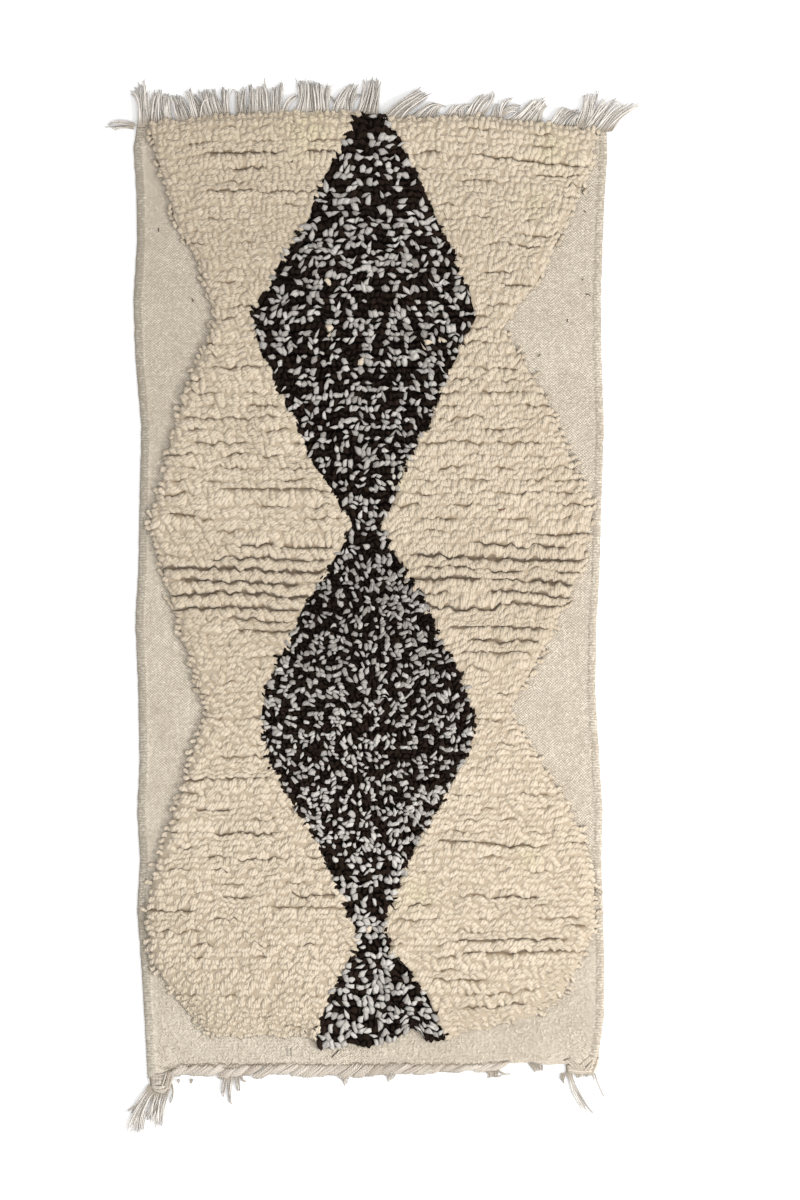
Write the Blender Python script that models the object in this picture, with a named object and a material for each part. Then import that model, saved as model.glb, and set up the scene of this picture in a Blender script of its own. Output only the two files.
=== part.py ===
"""A small hand-knotted wool rug with a lozenge chain, lying flat on the floor.

The rug is drawn first as it stood on the loom, with x across it, y up it from foot to head and z
off the floor, and its two ends are then bowed as they lie. All sizes are in metres.
"""

from collections import namedtuple

import bmesh
import bpy
from mathutils import Vector, noise

# The loom's two ends, and the height of the flat-woven ground.
HEAD = 0.797
FOOT = -0.751
GROUND_TOP = 0.004
GAP = 0.0003

# The ends lie bowed from these places outwards, by these shifts across the rug.
HEAD_BOW_FROM = 0.400
FOOT_BOW_FROM = -0.450
Bow = namedtuple("Bow", "x head foot")
BOWS = [
    Bow(-0.385, -0.0140, 0.0000),
    Bow(-0.280, -0.0060, 0.0000),
    Bow(-0.100, -0.0010, 0.0000),
    Bow(0.060, 0.0000, 0.0000),
    Bow(0.180, -0.0030, 0.0000),
    Bow(0.205, -0.0045, 0.0020),
    Bow(0.240, -0.0065, 0.0080),
    Bow(0.275, -0.0090, 0.0145),
    Bow(0.300, -0.0110, 0.0185),
    Bow(0.330, -0.0140, 0.0215),
    Bow(0.385, -0.0200, 0.0220),
]

# The outer edges of the two selvedges, from foot to head.
Edges = namedtuple("Edges", "y left right")
SELVEDGES = [
    Edges(-0.751, -0.364, 0.371),
    Edges(-0.689, -0.368, 0.381),
    Edges(-0.590, -0.374, 0.382),
    Edges(-0.494, -0.381, 0.379),
    Edges(-0.416, -0.376, 0.377),
    Edges(-0.337, -0.381, 0.379),
    Edges(-0.259, -0.377, 0.374),
    Edges(-0.142, -0.379, 0.367),
    Edges(-0.024, -0.384, 0.369),
    Edges(0.054, -0.379, 0.374),
    Edges(0.170, -0.377, 0.377),
    Edges(0.289, -0.374, 0.381),
    Edges(0.406, -0.384, 0.377),
    Edges(0.500, -0.387, 0.376),
    Edges(0.601, -0.381, 0.379),
    Edges(0.680, -0.382, 0.382),
    Edges(0.758, -0.387, 0.387),
    Edges(0.797, -0.381, 0.385),
]

# Where the knotted pile ends at the bare wedges, on either side.
Rim = namedtuple("Rim", "y x")
LEFT_RIM = [
    Rim(-0.725, -0.262),
    Rim(-0.673, -0.301),
    Rim(-0.587, -0.359),
    Rim(-0.497, -0.371),
    Rim(-0.414, -0.351),
    Rim(-0.290, -0.309),
    Rim(-0.174, -0.273),
    Rim(-0.064, -0.309),
    Rim(0.042, -0.338),
    Rim(0.129, -0.366),
    Rim(0.220, -0.341),
    Rim(0.344, -0.309),
    Rim(0.438, -0.268),
    Rim(0.468, -0.258),
    Rim(0.546, -0.281),
    Rim(0.633, -0.324),
    Rim(0.797, -0.369),
]
RIGHT_RIM = [
    Rim(-0.717, 0.130),
    Rim(-0.697, 0.213),
    Rim(-0.688, 0.270),
    Rim(-0.664, 0.315),
    Rim(-0.582, 0.350),
    Rim(-0.530, 0.372),
    Rim(-0.448, 0.370),
    Rim(-0.377, 0.351),
    Rim(-0.306, 0.315),
    Rim(-0.230, 0.265),
    Rim(-0.173, 0.231),
    Rim(-0.042, 0.302),
    Rim(0.064, 0.348),
    Rim(0.155, 0.369),
    Rim(0.248, 0.327),
    Rim(0.339, 0.291),
    Rim(0.411, 0.245),
    Rim(0.452, 0.221),
    Rim(0.557, 0.291),
    Rim(0.651, 0.333),
    Rim(0.730, 0.364),
    Rim(0.797, 0.374),
]

# The turns of the lozenge chain, from its half lozenge at the foot to its point at the head.
LOZENGES = [
    Edges(-0.717, -0.094, 0.118),
    Edges(-0.513, -0.027, 0.015),
    Edges(-0.191, -0.187, 0.165),
    Edges(0.132, -0.027, 0.024),
    Edges(0.465, -0.198, 0.178),
    Edges(0.797, -0.003, 0.009),
]

# The flat-woven ground: stations up the rug, the selvedge's section from its edge inwards, and
# the places across it where its bowed ends change their slope.
GROUND_ROWS = 46
Section = namedtuple("Section", "inset height")
SELVEDGE = [
    Section(0.0000, 0.0022),
    Section(0.0035, 0.0039),
    Section(0.0110, 0.0040),
    Section(0.0145, 0.0026),
    Section(0.0180, 0.0035),
]
GROUND_COLUMNS = [-0.335, -0.220, -0.160, -0.020, 0.120]
GROUND_COLUMNS = sorted(GROUND_COLUMNS + [bow.x for bow in BOWS[1:-1]])
WEDGE_HEIGHT = 0.0035
WEDGE_LUMPS = 0.0004
WEDGE_LUMP_SIZE = 0.030

# The pile: its rows of knots, and how high and how uneven they stand.
PILE_FOOT = -0.717
PILE_HEAD = 0.7955
PILE_ROWS = 74
PILE_TOP = 0.0160
ROW_DEPTH = 0.0024
ROW_CHANGE = 0.7
ROW_CHANGE_SIZE = 0.060
LUMPS = 0.0017
LUMP_SIZE = 0.045
ROW_WAVE = 0.0030
ROW_WAVE_SIZE = 0.070
RIM_TOP = 0.0095
RIM_TROUGH = 0.0080
RIM_ROUND = 0.009
SEAM_DIP = 0.0012
RIM_STEP = 0.0022
SEAM_STEP = 0.0018
SEAM_GAP = 0.0005
CREAM_SHARES = (0.0, 0.2, 0.4, 0.6, 0.8, 1.0)
LOZENGE_SHARES = (0.0, 0.25, 0.5, 0.75, 1.0)

# Locks that stand out over the bare wedges, one to a row of knots.
LOCK_REACH = 0.0055
LOCK_TAPER = 0.50

# Deep creases between the rows, where the pile parts. They fade out over their ends.
CREASE_FADE = 0.030
Crease = namedtuple("Crease", "y start end depth")
CREASES = [
    Crease(0.738, -0.253, -0.139, 0.0020),
    Crease(0.740, 0.073, 0.180, 0.0020),
    Crease(0.720, 0.180, 0.366, 0.0020),
    Crease(0.715, -0.277, -0.130, 0.0014),
    Crease(0.280, 0.114, 0.265, 0.0014),
    Crease(0.213, -0.253, -0.128, 0.0014),
    Crease(0.098, 0.164, 0.302, 0.0030),
    Crease(0.096, -0.203, -0.115, 0.0024),
    Crease(0.077, -0.262, -0.100, 0.0026),
    Crease(0.075, 0.113, 0.332, 0.0036),
    Crease(0.056, -0.338, -0.100, 0.0040),
    Crease(0.056, 0.113, 0.190, 0.0020),
    Crease(0.036, -0.314, -0.159, 0.0030),
    Crease(0.036, 0.200, 0.330, 0.0034),
    Crease(0.015, -0.330, -0.115, 0.0034),
    Crease(0.015, 0.150, 0.307, 0.0030),
    Crease(-0.005, -0.327, -0.130, 0.0026),
    Crease(-0.005, 0.138, 0.316, 0.0020),
    Crease(-0.034, 0.126, 0.302, 0.0026),
    Crease(-0.055, 0.110, 0.286, 0.0022),
]

# The fringe of warp ends: groups of strands with their places, their lean and their rise.
STRIP_DEPTH = 0.0047
STRIP_HEIGHT = 0.0030
STRIP_LEFT = -0.3805
STRIP_RIGHT = 0.3845
STRAND_WIDTH = 0.0034
STRAND_TAPER = 0.45
THIN_STRAND = 0.0020
SIDE_STRAND = (-0.046, -0.006, 0.0)
STRAND_BEND = 1.35
LEAST_APART = 1.30
BUNCH = 4
GATHER = 0.30
Strands = namedtuple("Strands", "start end count lean rise")
FRINGE = [
    Strands(-0.3785, -0.3735, 2, -0.044, 0.006),
    Strands(-0.3680, -0.3640, 2, -0.006, 0.056),
    Strands(-0.3580, -0.2440, 19, -0.016, 0.045),
    Strands(-0.2370, -0.2330, 2, 0.002, 0.052),
    Strands(-0.2160, -0.1430, 12, 0.006, 0.047),
    Strands(-0.1310, -0.0690, 10, 0.003, 0.054),
    Strands(-0.0630, -0.0280, 6, 0.014, 0.053),
    Strands(-0.0220, 0.0110, 6, 0.010, 0.057),
    Strands(0.0170, 0.0440, 5, 0.049, 0.040),
    Strands(0.0520, 0.1480, 12, 0.038, 0.019),
    Strands(0.1560, 0.1840, 5, 0.018, 0.042),
    Strands(0.1920, 0.2750, 11, 0.032, 0.027),
    Strands(0.2840, 0.3320, 6, 0.032, 0.014),
    Strands(0.3400, 0.3590, 4, 0.014, 0.058),
    Strands(0.3640, 0.3820, 4, 0.045, 0.038),
]

# The plaited edge: its turns lie slanting across it, and a few yarns have come loose.
PLAIT_START = -0.3625
PLAIT_END = 0.3000
PLAIT_DEPTH = 0.0185
PLAIT_TURNS = 42
PLAIT_SLANT = 0.010
PLAIT_BULGE = 0.0016
PLAIT_TROUGH = 0.70
Across = namedtuple("Across", "share height")
PLAIT_SECTION = [
    Across(0.00, 0.0030),
    Across(0.18, 0.0062),
    Across(0.45, 0.0078),
    Across(0.75, 0.0066),
    Across(1.00, 0.0026),
]
Lock = namedtuple("Lock", "x lean drop")
FOOT_LOCKS = [
    Lock(-0.2680, -0.004, 0.012),
    Lock(-0.2330, -0.010, 0.032),
    Lock(-0.2250, -0.010, 0.039),
    Lock(-0.2170, -0.006, 0.026),
    Lock(-0.1300, -0.005, 0.006),
    Lock(-0.0400, -0.004, 0.006),
    Lock(0.0600, 0.004, 0.006),
    Lock(0.1400, 0.003, 0.007),
    Lock(0.2300, 0.006, 0.008),
]

# The corner tassels: their knots, and where each strand leaves the knot and ends.
Knot = namedtuple("Knot", "start end back front round height")
PLAIT_OUTSIDE = FOOT - GAP - PLAIT_DEPTH - PLAIT_BULGE
LEFT_KNOT = Knot(-0.3600, -0.3220, PLAIT_OUTSIDE - GAP, -0.7910, 0.0045, 0.0050)
RIGHT_KNOT = Knot(0.3062, 0.3670, FOOT - GAP, -0.7670, 0.0030, 0.0045)
KNOT_DOME = ((0.0022, 0.0020), (0.0030, 0.0012))
TASSEL_WIDTH = 0.0022
TASSEL_SPREAD = 0.0030
Strand = namedtuple("Strand", "root tip_x tip_y")
LEFT_TASSEL = [
    Strand(-0.3565, -0.397, -0.850),
    Strand(-0.3533, -0.390, -0.849),
    Strand(-0.3501, -0.384, -0.857),
    Strand(-0.3469, -0.378, -0.855),
    Strand(-0.3437, -0.372, -0.849),
    Strand(-0.3375, -0.359, -0.836),
    Strand(-0.3343, -0.355, -0.846),
    Strand(-0.3311, -0.350, -0.850),
    Strand(-0.3279, -0.345, -0.849),
]
RIGHT_TASSEL = [
    Strand(0.3110, 0.313, -0.794),
    Strand(0.3150, 0.352, -0.836),
    Strand(0.3190, 0.362, -0.838),
    Strand(0.3230, 0.374, -0.838),
    Strand(0.3460, 0.347, -0.789),
    Strand(0.3520, 0.354, -0.792),
    Strand(0.3580, 0.361, -0.788),
]

# Yarn colours, as red, green and blue in linear light.
CREAM = (0.62, 0.52, 0.39)
BLACK = (0.075, 0.065, 0.055)
WARP = (0.60, 0.54, 0.46)
GROUND = (0.64, 0.56, 0.46)


def follow(rows, at, column):
    """A table's column at a place along its first column, on straight lines between rows."""
    if at <= rows[0][0]:
        return getattr(rows[0], column)
    for low, high in zip(rows, rows[1:]):
        if at <= high[0]:
            share = (at - low[0]) / (high[0] - low[0])
            return (1 - share) * getattr(low, column) + share * getattr(high, column)
    return getattr(rows[-1], column)


def lie(x, y, z):
    """The place on the floor of a point drawn on the loom, whose ends have bowed."""
    head = min(max((y - HEAD_BOW_FROM) / (HEAD - HEAD_BOW_FROM), 0.0), 1.0)
    foot = min(max((FOOT_BOW_FROM - y) / (FOOT_BOW_FROM - FOOT), 0.0), 1.0)
    shift = head * follow(BOWS, x, "head") + foot * follow(BOWS, x, "foot")
    return Vector((x, y + shift, z))


def uneven(x, y, size, layer=0.0):
    """A soft unevenness from -1 to 1 over the rug, with humps about this far apart."""
    return noise.noise(Vector((x / size, y / size, layer)))


def spread(start, end, count):
    """Evenly spaced values from start to end, both counted."""
    return [start + (end - start) * i / (count - 1) for i in range(count)]


def slab(rows, floor):
    """A solid with a flat underside, from rows of points on its top, and its side faces."""
    bm = bmesh.new()
    grid = [[bm.verts.new(lie(*point)) for point in row] for row in rows]
    for low, high in zip(grid, grid[1:]):
        for i in range(len(low) - 1):
            bm.faces.new((low[i], low[i + 1], high[i + 1], high[i]))
    right = [row[-1] for row in grid[1:-1]]
    left = [row[0] for row in grid[1:-1]]
    rim = grid[0] + right + grid[-1][::-1] + left[::-1]
    under = [bm.verts.new((v.co.x, v.co.y, floor)) for v in rim]
    walls = []
    for i in range(len(rim)):
        k = (i + 1) % len(rim)
        walls.append(bm.faces.new((rim[k], rim[i], under[i], under[k])))
    bm.faces.new(under[::-1])
    bmesh.ops.recalc_face_normals(bm, faces=bm.faces)
    return bm, walls


def grow(bm, face, centre, way, width, low, high):
    """Extrudes a strand's end face and sets its corners around a new centre, across its way."""
    across = Vector((way.y, -way.x, 0.0)).normalized()
    middle = face.calc_center_median()
    end = bmesh.ops.extrude_discrete_faces(bm, faces=[face])["faces"][0]
    for corner in end.verts:
        side = 1 if (corner.co - middle).dot(across) > 0 else -1
        height = high if corner.co.z > middle.z else low
        corner.co = centre + across * side * width / 2
        corner.co.z = height
    return end


def comb(back, roots, front, height, width):
    """A flat backing, its wall faces from its left end on, and its top.

    The walls at the roots along its front are every second one after the left end's.
    """
    bm = bmesh.new()
    plan = list(back)
    for x in roots:
        plan += [(x - width / 2, front(x)), (x + width / 2, front(x))]
    low = [bm.verts.new(lie(x, y, 0.0)) for x, y in plan]
    high = [bm.verts.new(lie(x, y, height)) for x, y in plan]
    count = len(plan)
    walls = [
        bm.faces.new((low[i], low[(i + 1) % count], high[(i + 1) % count], high[i]))
        for i in range(count)
    ]
    top = bm.faces.new(high)
    bm.faces.new(low[::-1])
    bmesh.ops.recalc_face_normals(bm, faces=bm.faces)
    return bm, walls[len(back) - 1 :], top


def finish(name, bm, colour, roughness):
    """Makes a named object with its own wool material from a closed mesh."""
    mesh = bpy.data.meshes.new(name)
    bmesh.ops.recalc_face_normals(bm, faces=bm.faces)
    bm.to_mesh(mesh)
    bm.free()
    part = bpy.data.objects.new(name, mesh)
    bpy.context.collection.objects.link(part)
    material = bpy.data.materials.new(name)
    material.use_nodes = True
    shader = material.node_tree.nodes["Principled BSDF"]
    shader.inputs["Base Color"].default_value = (*colour, 1.0)
    shader.inputs["Roughness"].default_value = roughness
    shader.inputs["Metallic"].default_value = 0.0
    mesh.materials.append(material)
    return part


def ground_height(x, y):
    """The ground is level where the pile stands on it, and a little sunk and uneven elsewhere."""
    if follow(LEFT_RIM, y, "x") <= x <= follow(RIGHT_RIM, y, "x"):
        return GROUND_TOP
    return WEDGE_HEIGHT + WEDGE_LUMPS * uneven(x, y, WEDGE_LUMP_SIZE)


def ground_weave():
    """The flat-woven ground with its corded selvedges, bare at the wedges and at the foot."""
    rows = []
    for y in spread(FOOT, HEAD, GROUND_ROWS):
        left, right = follow(SELVEDGES, y, "left"), follow(SELVEDGES, y, "right")
        row = [(left + s.inset, y, s.height) for s in SELVEDGE]
        row += [(x, y, ground_height(x, y)) for x in GROUND_COLUMNS]
        row += [(right - s.inset, y, s.height) for s in reversed(SELVEDGE)]
        rows.append(row)
    bm, _ = slab(rows, 0.0)
    return finish("ground_weave", bm, GROUND, 0.95)


def row_heights():
    """The pile's stations up the rug: troughs between the rows and crests on them, in turn."""
    return spread(PILE_FOOT, PILE_HEAD, 2 * PILE_ROWS + 1)


def crease_depth(x, y):
    """How much deeper than its trough the pile parts here."""
    half_row = (PILE_HEAD - PILE_FOOT) / PILE_ROWS / 2
    depth = 0.0
    for crease in CREASES:
        inside = min(x - crease.start, crease.end - x)
        if abs(crease.y - y) <= half_row and inside > 0:
            depth = max(depth, crease.depth * min(inside / CREASE_FADE, 1.0))
    return depth


def pile_point(x, y, station, dip=0.0):
    """A point on the pile's top, with its wavy rows, its lumps and its deep creases."""
    z = PILE_TOP - dip + LUMPS * uneven(x, y, LUMP_SIZE)
    if station % 2 == 0:
        z -= ROW_DEPTH * (1 + ROW_CHANGE * uneven(x, y, ROW_CHANGE_SIZE, 3.0))
        z -= crease_depth(x, y)
    if station in (0, 2 * PILE_ROWS):
        z = RIM_TOP
    return (x, y + ROW_WAVE * uneven(x, y, ROW_WAVE_SIZE, 5.0), z)


def rim_at(table, y, column, station, step, layer):
    """A rim's place at a station: straight runs, with each row's knots standing in or out."""
    out = step if station % 2 else -step
    return follow(table, y, column) + out * (0.6 + uneven(y, layer, 0.013, layer))


def cream_row(y, station, rim, seam, inwards):
    """One station of a cream side, from its rounded rim to its seam with the lozenges."""
    x, bent_y, _ = pile_point(rim, y, station)
    row = [(x, bent_y, RIM_TOP if station % 2 else RIM_TROUGH)]
    start = rim + inwards * min(RIM_ROUND, abs(seam - rim) * 0.4)
    for share in CREAM_SHARES:
        dip = SEAM_DIP if share == 1.0 else 0.0
        row.append(pile_point(start + share * (seam - start), y, station, dip))
    return row


def add_rim_locks(bm, walls, outwards):
    """Draws every second wall face along the rim out into a short lock over the bare ground."""
    rim = [w for w in walls if w.normal.x * outwards > 0.3]
    rim.sort(key=lambda w: w.calc_center_median().y)
    for wall in rim[1::2]:
        middle = wall.calc_center_median()
        way = wall.normal.copy()
        way.z = 0.0
        way.normalize()
        end = bmesh.ops.extrude_discrete_faces(bm, faces=[wall])["faces"][0]
        for corner in end.verts:
            corner.co = middle + LOCK_TAPER * (corner.co - middle) + LOCK_REACH * way


def pile_cream(name, rims, seam_column, inwards):
    """The cream pile on one side of the lozenge chain."""
    rows = []
    for station, y in enumerate(row_heights()):
        rim = rim_at(rims, y, "x", station, -inwards * RIM_STEP, 11.0)
        seam = rim_at(LOZENGES, y, seam_column, station, SEAM_STEP, 13.0)
        row = cream_row(y, station, rim, seam - inwards * SEAM_GAP / 2, inwards)
        rows.append(row if inwards > 0 else row[::-1])
    bm, walls = slab(rows, GROUND_TOP + GAP)
    add_rim_locks(bm, walls, -inwards)
    return finish(name, bm, CREAM, 0.95)


def pile_lozenges():
    """The chain of lozenges, knotted row by row with the cream pile and standing as high."""
    rows = []
    for station, y in enumerate(row_heights()):
        left = rim_at(LOZENGES, y, "left", station, SEAM_STEP, 13.0) + SEAM_GAP / 2
        right = rim_at(LOZENGES, y, "right", station, SEAM_STEP, 13.0) - SEAM_GAP / 2
        row = []
        for share in LOZENGE_SHARES:
            dip = SEAM_DIP if share in (0.0, 1.0) else 0.0
            row.append(pile_point(left + share * (right - left), y, station, dip))
        rows.append(row)
    bm, _ = slab(rows, GROUND_TOP + GAP)
    return finish("pile_lozenges", bm, BLACK, 0.9)


def fringe_strands():
    """The root, lean and rise of each warp end along the head, gathered into small bunches."""
    strands = []
    for group in FRINGE:
        roots = spread(group.start, group.end, group.count)
        for i, x in enumerate(roots):
            bunch = roots[i // BUNCH * BUNCH : i // BUNCH * BUNCH + BUNCH]
            pull = GATHER * (sum(bunch) / len(bunch) - x)
            rise = group.rise * (1 + 0.25 * uneven(x, 0.0, 0.011, 17.0))
            strands.append([x, group.lean + pull, rise])
    return strands


def part_strands(strands):
    """Turns each strand just enough for it not to cross the next one."""
    for left, right in reversed(list(zip(strands, strands[1:]))):
        common = min(left[2], right[2])
        right_share = (common / right[2]) ** STRAND_BEND
        left_share = (common / left[2]) ** STRAND_BEND
        limit = right[0] + right[1] * right_share - LEAST_APART * STRAND_WIDTH
        left[1] = min(left[1], (limit - left[0]) / left_share)
    return strands


def fringe_top():
    """The warp ends along the head, on a narrow strip of the last weft, with one at its end."""
    strands = part_strands(fringe_strands())
    back = [(bow.x, HEAD + GAP) for bow in reversed(BOWS[1:-1])]
    back = [(STRIP_RIGHT, HEAD + GAP), *back, (STRIP_LEFT, HEAD + GAP)]
    front = HEAD + GAP + STRIP_DEPTH
    roots = [s[0] for s in strands]
    bm, walls, _ = comb(back, roots, lambda x: front, STRIP_HEIGHT, STRAND_WIDTH)
    for face, (x, lean, rise) in zip(walls[1::2], strands):
        root = lie(x, front, 0.0)
        middle = lie(x + lean * 0.5**STRAND_BEND, front + 0.5 * rise, 0.0)
        tip = lie(x + lean, front + rise, 0.0)
        width = STRAND_WIDTH * rise / (rise**2 + lean**2) ** 0.5
        width = max(width, THIN_STRAND)
        face = grow(bm, face, middle, middle - root, width, 0.0, 0.0027)
        grow(bm, face, tip, tip - middle, STRAND_TAPER * width, 0.0, 0.0013)
    end = walls[0]
    way = Vector(SIDE_STRAND)
    root = end.calc_center_median()
    end = grow(bm, end, root + 0.5 * way, way, THIN_STRAND, 0.0, 0.0022)
    grow(bm, end, root + way, way, STRAND_TAPER * THIN_STRAND, 0.0, 0.0013)
    return finish("fringe_top", bm, WARP, 0.9)


def plait_rows():
    """The plait's stations along the foot, with its turns slanting across it."""
    rows = []
    for station, x in enumerate(spread(PLAIT_START, PLAIT_END, 2 * PLAIT_TURNS + 1)):
        crest = station % 2
        row = []
        for across in PLAIT_SECTION:
            height = across.height * (1.0 if crest else PLAIT_TROUGH)
            bulge = PLAIT_BULGE * across.share * (1 if crest else -1)
            slant = PLAIT_SLANT * (across.share - 0.5)
            y = FOOT - GAP - across.share * PLAIT_DEPTH - bulge
            row.append((x - slant, y, height))
        rows.append(row)
    return rows


def edge_plait_foot():
    """The plaited edge along the foot, with the loose yarns that stand out of it."""
    bm, walls = slab(plait_rows(), 0.0)
    outer = [w for w in walls if w.normal.y < -0.5]
    for lock in FOOT_LOCKS:
        face = min(outer, key=lambda w: abs(w.calc_center_median().x - lock.x))
        outer.remove(face)
        root = face.calc_center_median()
        way = Vector((lock.lean, -lock.drop, 0.0))
        face = grow(bm, face, root + 0.5 * way, way, 0.0036, 0.0, 0.0022)
        grow(bm, face, root + way, way, 0.0016, 0.0, 0.0012)
    return finish("edge_plait_foot", bm, WARP, 0.95)


def tassel(name, knot, strands):
    """A corner tassel: a domed knot against the cloth's end, and the strands that leave it."""
    middle_x = (knot.start + knot.end) / 2
    half = (knot.end - knot.start) / 2

    def front(x):
        return knot.front - knot.round * (1 - ((x - middle_x) / half) ** 2)

    back = [(x, knot.back) for x in spread(knot.end, knot.start, 3)]
    roots = [s.root for s in strands]
    bm, walls, top = comb(back, roots, front, knot.height, TASSEL_WIDTH)
    for face, strand in zip(walls[1::2], strands):
        root = lie(strand.root, front(strand.root), 0.0)
        tip = lie(strand.tip_x, strand.tip_y, 0.0)
        middle = root.lerp(tip, 0.5)
        face = grow(bm, face, middle, tip - root, TASSEL_SPREAD, 0.0, 0.0026)
        grow(bm, face, tip, tip - root, STRAND_TAPER * TASSEL_SPREAD, 0.0, 0.0012)
    for inset, rise in KNOT_DOME:
        bmesh.ops.inset_region(bm, faces=[top], thickness=inset, depth=rise)
    return finish(name, bm, WARP, 0.9)


def stand_on_origin(parts):
    """Holds all the parts by one empty that puts the middle of their underside at the origin."""
    corners = [v.co for part in parts for v in part.data.vertices]
    low = Vector(min(c[i] for c in corners) for i in range(3))
    high = Vector(max(c[i] for c in corners) for i in range(3))
    holder = bpy.data.objects.new("rug", None)
    bpy.context.collection.objects.link(holder)
    holder.location = (-(low.x + high.x) / 2, -(low.y + high.y) / 2, -low.z)
    for part in parts:
        part.parent = holder


def main():
    """Builds the rug on an empty scene."""
    for old in list(bpy.data.objects):
        bpy.data.objects.remove(old)
    parts = [
        ground_weave(),
        pile_cream("pile_cream_left", LEFT_RIM, "left", 1),
        pile_cream("pile_cream_right", RIGHT_RIM, "right", -1),
        pile_lozenges(),
        fringe_top(),
        edge_plait_foot(),
        tassel("tassel_foot_left", LEFT_KNOT, LEFT_TASSEL),
        tassel("tassel_foot_right", RIGHT_KNOT, RIGHT_TASSEL),
    ]
    stand_on_origin(parts)


main()
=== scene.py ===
"""The looks of a small hand-knotted wool rug with a lozenge chain, lying flat on a pale floor.

The rug is drawn as it stood on the loom, with x across it, y up it from foot to head and z off the
floor, and then put down as it lies, with its two ends bowed. All sizes are in metres.
"""

import logging
import math
from collections.abc import Sequence
from dataclasses import dataclass, replace
from enum import Enum
from functools import cached_property
from typing import NamedTuple

import bpy
import numpy as np
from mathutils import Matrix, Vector, noise


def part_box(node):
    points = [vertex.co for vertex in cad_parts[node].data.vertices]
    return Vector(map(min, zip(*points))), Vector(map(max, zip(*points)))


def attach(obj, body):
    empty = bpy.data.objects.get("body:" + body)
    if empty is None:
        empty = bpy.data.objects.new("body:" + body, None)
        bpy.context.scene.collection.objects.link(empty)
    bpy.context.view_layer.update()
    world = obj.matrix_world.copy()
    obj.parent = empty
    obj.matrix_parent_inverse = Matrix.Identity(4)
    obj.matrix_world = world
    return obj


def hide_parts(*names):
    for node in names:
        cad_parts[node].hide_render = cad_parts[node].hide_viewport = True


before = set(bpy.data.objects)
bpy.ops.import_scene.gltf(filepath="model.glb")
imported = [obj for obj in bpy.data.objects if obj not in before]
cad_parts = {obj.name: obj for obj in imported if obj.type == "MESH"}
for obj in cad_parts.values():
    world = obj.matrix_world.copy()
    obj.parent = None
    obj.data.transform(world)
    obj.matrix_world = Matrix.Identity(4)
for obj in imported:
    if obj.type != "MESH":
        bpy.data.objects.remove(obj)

logging.basicConfig(level=logging.INFO, format="%(message)s")
log = logging.getLogger("rug")

Colour = tuple[float, float, float]
Place = tuple[float, float, float]


class Bow(NamedTuple):
    """How far the two ends have shifted up the rug at one place across it."""

    x: float
    head: float
    foot: float


class Edges(NamedTuple):
    """Where the left and the right side of something stand at one place up the rug."""

    y: float
    left: float
    right: float


class Rim(NamedTuple):
    """Where the pile ends at one place up the rug."""

    y: float
    x: float


class Parting(NamedTuple):
    """A crease where the pile parts: its ends, its height at both ends and midway, its width."""

    start: float
    end: float
    y_start: float
    y_middle: float
    y_end: float
    width: float


class Nap(NamedTuple):
    """How the knots lie at a place up the rug: how far in degrees they lean outwards, near the middle
    and at the rim, and how far they stray from that; how many lines of them make a row, how far apart
    they are tied, and how long and wide a lock is."""

    y: float
    inner: float
    outer: float
    stray: float
    lines: float
    pitch: float
    length: float
    width: float


class Reach(NamedTuple):
    """How far the pile reaches up past its first row at the foot and past its last one at the head."""

    x: float
    foot: float
    head: float


class Patch(NamedTuple):
    """A round patch on the rug."""

    x: float
    y: float
    radius: float


class PaintedShading(NamedTuple):
    """How much painted light lies on the cream wool at one place up the rug, at its left and right side;
    below 0, painted shade.
    """

    y: float
    left: float
    right: float


class Line(NamedTuple):
    """How clearly the rows of knots stand apart as thin lines at one place up the rug, from 0 to 1."""

    y: float
    open: float


class Rise(NamedTuple):
    """How far the plait's upper edge lies above the cloth's foot at one place across the rug."""

    x: float
    up: float


class Share(NamedTuple):
    """The share of white locks in the lozenges at one place up the rug."""

    y: float
    white: float


class Bunch(NamedTuple):
    """A bunch of loose yarns: the root, the middle and the tip of its first and of its last yarn, as x
    and y of each in turn, how many yarns it has, how high they bulge, and how much they cross."""

    first: tuple[float, ...]
    last: tuple[float, ...]
    yarns: int
    lift: float
    mix: float


class Drop(NamedTuple):
    """How far the cloth's foot hangs below its straight edge at one place across the rug."""

    x: float
    deep: float


CORNER_DROPS = [
    Drop(-0.37, 0.023),
    Drop(-0.3445, 0.014),
    Drop(-0.322, 0.0066),
    Drop(-0.294, 0.003),
    Drop(-0.26, 0.001),
    Drop(-0.22, 0.0),
    Drop(0.205, 0.0),
    Drop(0.24, 0.004),
    Drop(0.26, 0.007),
    Drop(0.278, 0.013),
    Drop(0.29, 0.0165),
    Drop(0.34, 0.02),
    Drop(0.376, 0.022),
]
BOWS = [
    Bow(-0.385, -0.014, 0.0),
    Bow(-0.28, -0.006, 0.0),
    Bow(-0.1, -0.001, 0.0),
    Bow(0.06, 0.0, 0.0),
    Bow(0.18, -0.003, 0.0),
    Bow(0.205, -0.0045, 0.002),
    Bow(0.24, -0.0065, 0.008),
    Bow(0.275, -0.009, 0.0145),
    Bow(0.3, -0.011, 0.0185),
    Bow(0.33, -0.014, 0.0215),
    Bow(0.385, -0.02, 0.022),
]
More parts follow.
